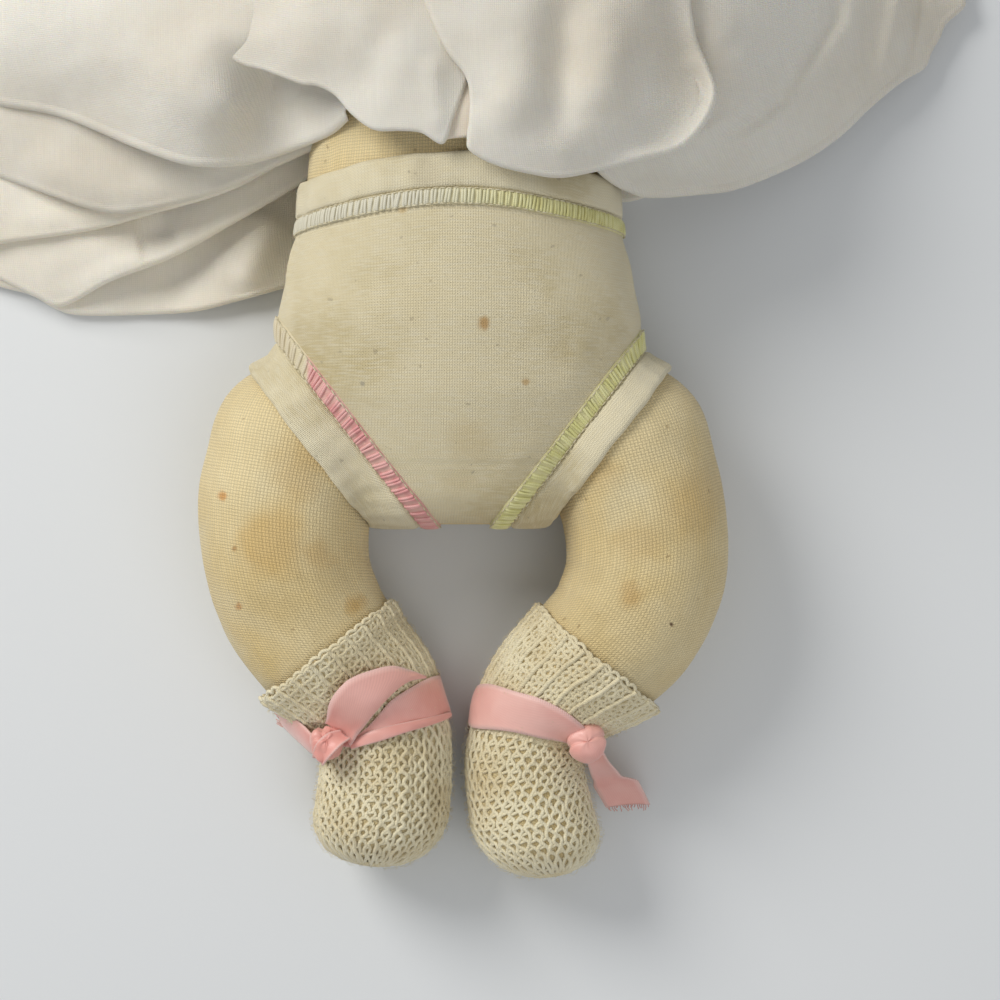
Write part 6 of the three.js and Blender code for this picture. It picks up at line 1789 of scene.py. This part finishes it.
def make_hand(side, sign, material):
    """A small bisque hand: a palm, four curled fingers and a thumb, melted into one smooth form."""
    ahead = unit(np.array([sign * (WRIST - SHOULDER)[0], (WRIST - SHOULDER)[1], 0]))
    over = np.cross(UP, ahead) * sign
    start = WRIST * [sign, 1, 1] + ahead

    def place(along, across, up=0.0):
        return start + ahead * along + over * across + UP * up

    chains = [([place(-3.5, 0, 0.9), place(1, 0), place(5, 0)], [5.6, 5.0, 4.6]),
              ([place(6, -2.5), place(12.5, -3.6), place(13.5, -4.4)], [4.0, 3.4, 2.4]),
              ([place(6, 2.5), place(12.5, 3.6), place(13.5, 4.6)], [4.0, 3.4, 2.4])]
    for share in (-1.5, -0.5, 0.5, 1.5):
        root, way = place(12.5, share * 3.3), (ahead + over * share * 0.06) * (8.4 - abs(share) * 1.2)
        chains.append(([root, root + way * 0.5 + UP * 0.7, root + way + UP * 0.1], [2.2, 1.95, 1.6]))
    root, half, whole = place(7, -5), (ahead * 0.8 - over * 0.6) * 4.0, (ahead * 1.0 - over * 0.45) * 7.6
    chains.append(([root, root + half, root + whole], [2.5, 2.1, 1.7]))
    blobs = [ball_piece("palm", place(9.5, 0.2, 0.2), [6.2, 6.2, 4.2])]
    for path, radii in chains:
        for bead in smooth_path(np.column_stack([path, radii]), 16):
            blobs.append(ball_piece("bead", bead[:3], [bead[3]] * 3, None, 16, 12))
    joined = bmesh.new()
    for blob in blobs:
        joined.from_mesh(blob.data)
        bpy.data.objects.remove(blob)
    mesh = bpy.data.meshes.new(side + "_bisque_hand")
    joined.to_mesh(mesh)
    joined.free()
    hand = link(side + "_bisque_hand", mesh, material)
    melt = hand.modifiers.new("melt", "REMESH")
    melt.mode, melt.voxel_size = "VOXEL", 0.45 * MM
    soft = hand.modifiers.new("soft", "SMOOTH")
    soft.factor, soft.iterations = 0.6, 9
    bake(hand)
    if not hand.data.materials:
        hand.data.materials.append(material)
    points = np.array([vertex.co for vertex in hand.data.vertices]) / MM
    reach = (points - start) @ ahead
    knuckles = np.exp(-((reach - 12.5) / 1.2) ** 2) * (points[:, 2] > 12)
    paint(hand, "blush", 0.5 * smoothstep(reach, 14, 24) + 0.3 * knuckles)
    dress(hand, side + "_arm", "bisque", side + "_hand")


# Materials of the inner solids that stay as they are
def plain_metal(name, base, dark, roughness):
    s = Surface(name, roughness=roughness, metallic=0.9)
    cloud = s.cloud(260.0, 4.0, 0.6)
    normal = s.bump(s.cloud(900.0, 3.0), 0.06, 0.4)
    return s.finish(s.tones(cloud, 0.35, 0.7, base, dark), normal, s.level(cloud, 0.25, roughness - 0.1))


def dull_solid(name, base, dark, scale, depth):
    s = Surface(name, roughness=0.92, specular=0.15)
    grain = s.cloud(scale, 4.0, 0.65)
    return s.finish(s.tones(grain, 0.35, 0.68, base, dark), s.bump(grain, depth, 0.7))


make_yoke()
make_collar()
bisque = bisque_material("bisque")
bisque_hand = bisque_material("bisque_hand")
for side, sign in SIDES.items():
    make_arm(side, sign)
    make_hand(side, sign, bisque_hand)
make_head()
make_neck(bisque)
for side, sign in SIDES.items():
    make_ear(side, sign, bisque)
    make_eye(side, sign)
# The string that closes the body cover round the neck flange, in two turns
string_ring = torso_ring(104.6, 0.3, 160)
binding("neck_string", [string_ring + [0, up, 0] for up in (-0.45, 0.45)], 0.5, "torso",
        thread_material("string", (222, 210, 178), (196, 180, 142)), "thread", ["neck_drawstring"])
plaster = dull_solid("plaster", (232, 228, 218), (210, 204, 190), 700.0, 0.1)
INNER_FINISHES = {
    "eye_rocker_wire": plain_metal("rocker_wire", (168, 164, 156), (120, 114, 104), 0.35),
    "eye_counterweight": plain_metal("lead_weight", (112, 114, 118), (78, 80, 84), 0.6),
    "left_eye_bearing": plaster,
    "right_eye_bearing": plaster,
    "eye_stop": dull_solid("cork", (190, 148, 100), (128, 92, 56), 500.0, 0.25),
}
for node, material in INNER_FINISHES.items():
    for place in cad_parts[node].material_slots:
        place.material = material


# Floor and daylight
table = Surface("table", roughness=0.55, specular=0.3)
table_colour = table.mix(table.cloud(3.0, 2.0), linear((224, 227, 229)), linear((230, 232, 233)))
table_top = table.finish(table_colour, table.bump(table.cloud(900.0, 2.0), 0.03, 0.3))
TABLE_HALF, TABLE_Z = 3.0, -0.0003
floor_mesh = bpy.data.meshes.new("floor")
corners = [(x * TABLE_HALF, y * TABLE_HALF, TABLE_Z) for x, y in ((-1, -1), (1, -1), (1, 1), (-1, 1))]
floor_mesh.from_pydata(corners, [], [(0, 1, 2, 3)])
link("floor", floor_mesh, table_top)

world = bpy.data.worlds.new("room")
scene.world = world
world.use_nodes = True
world.node_tree.nodes["Background"].inputs["Color"].default_value = (0.86, 0.87, 0.88, 1)
world.node_tree.nodes["Background"].inputs["Strength"].default_value = 0.42
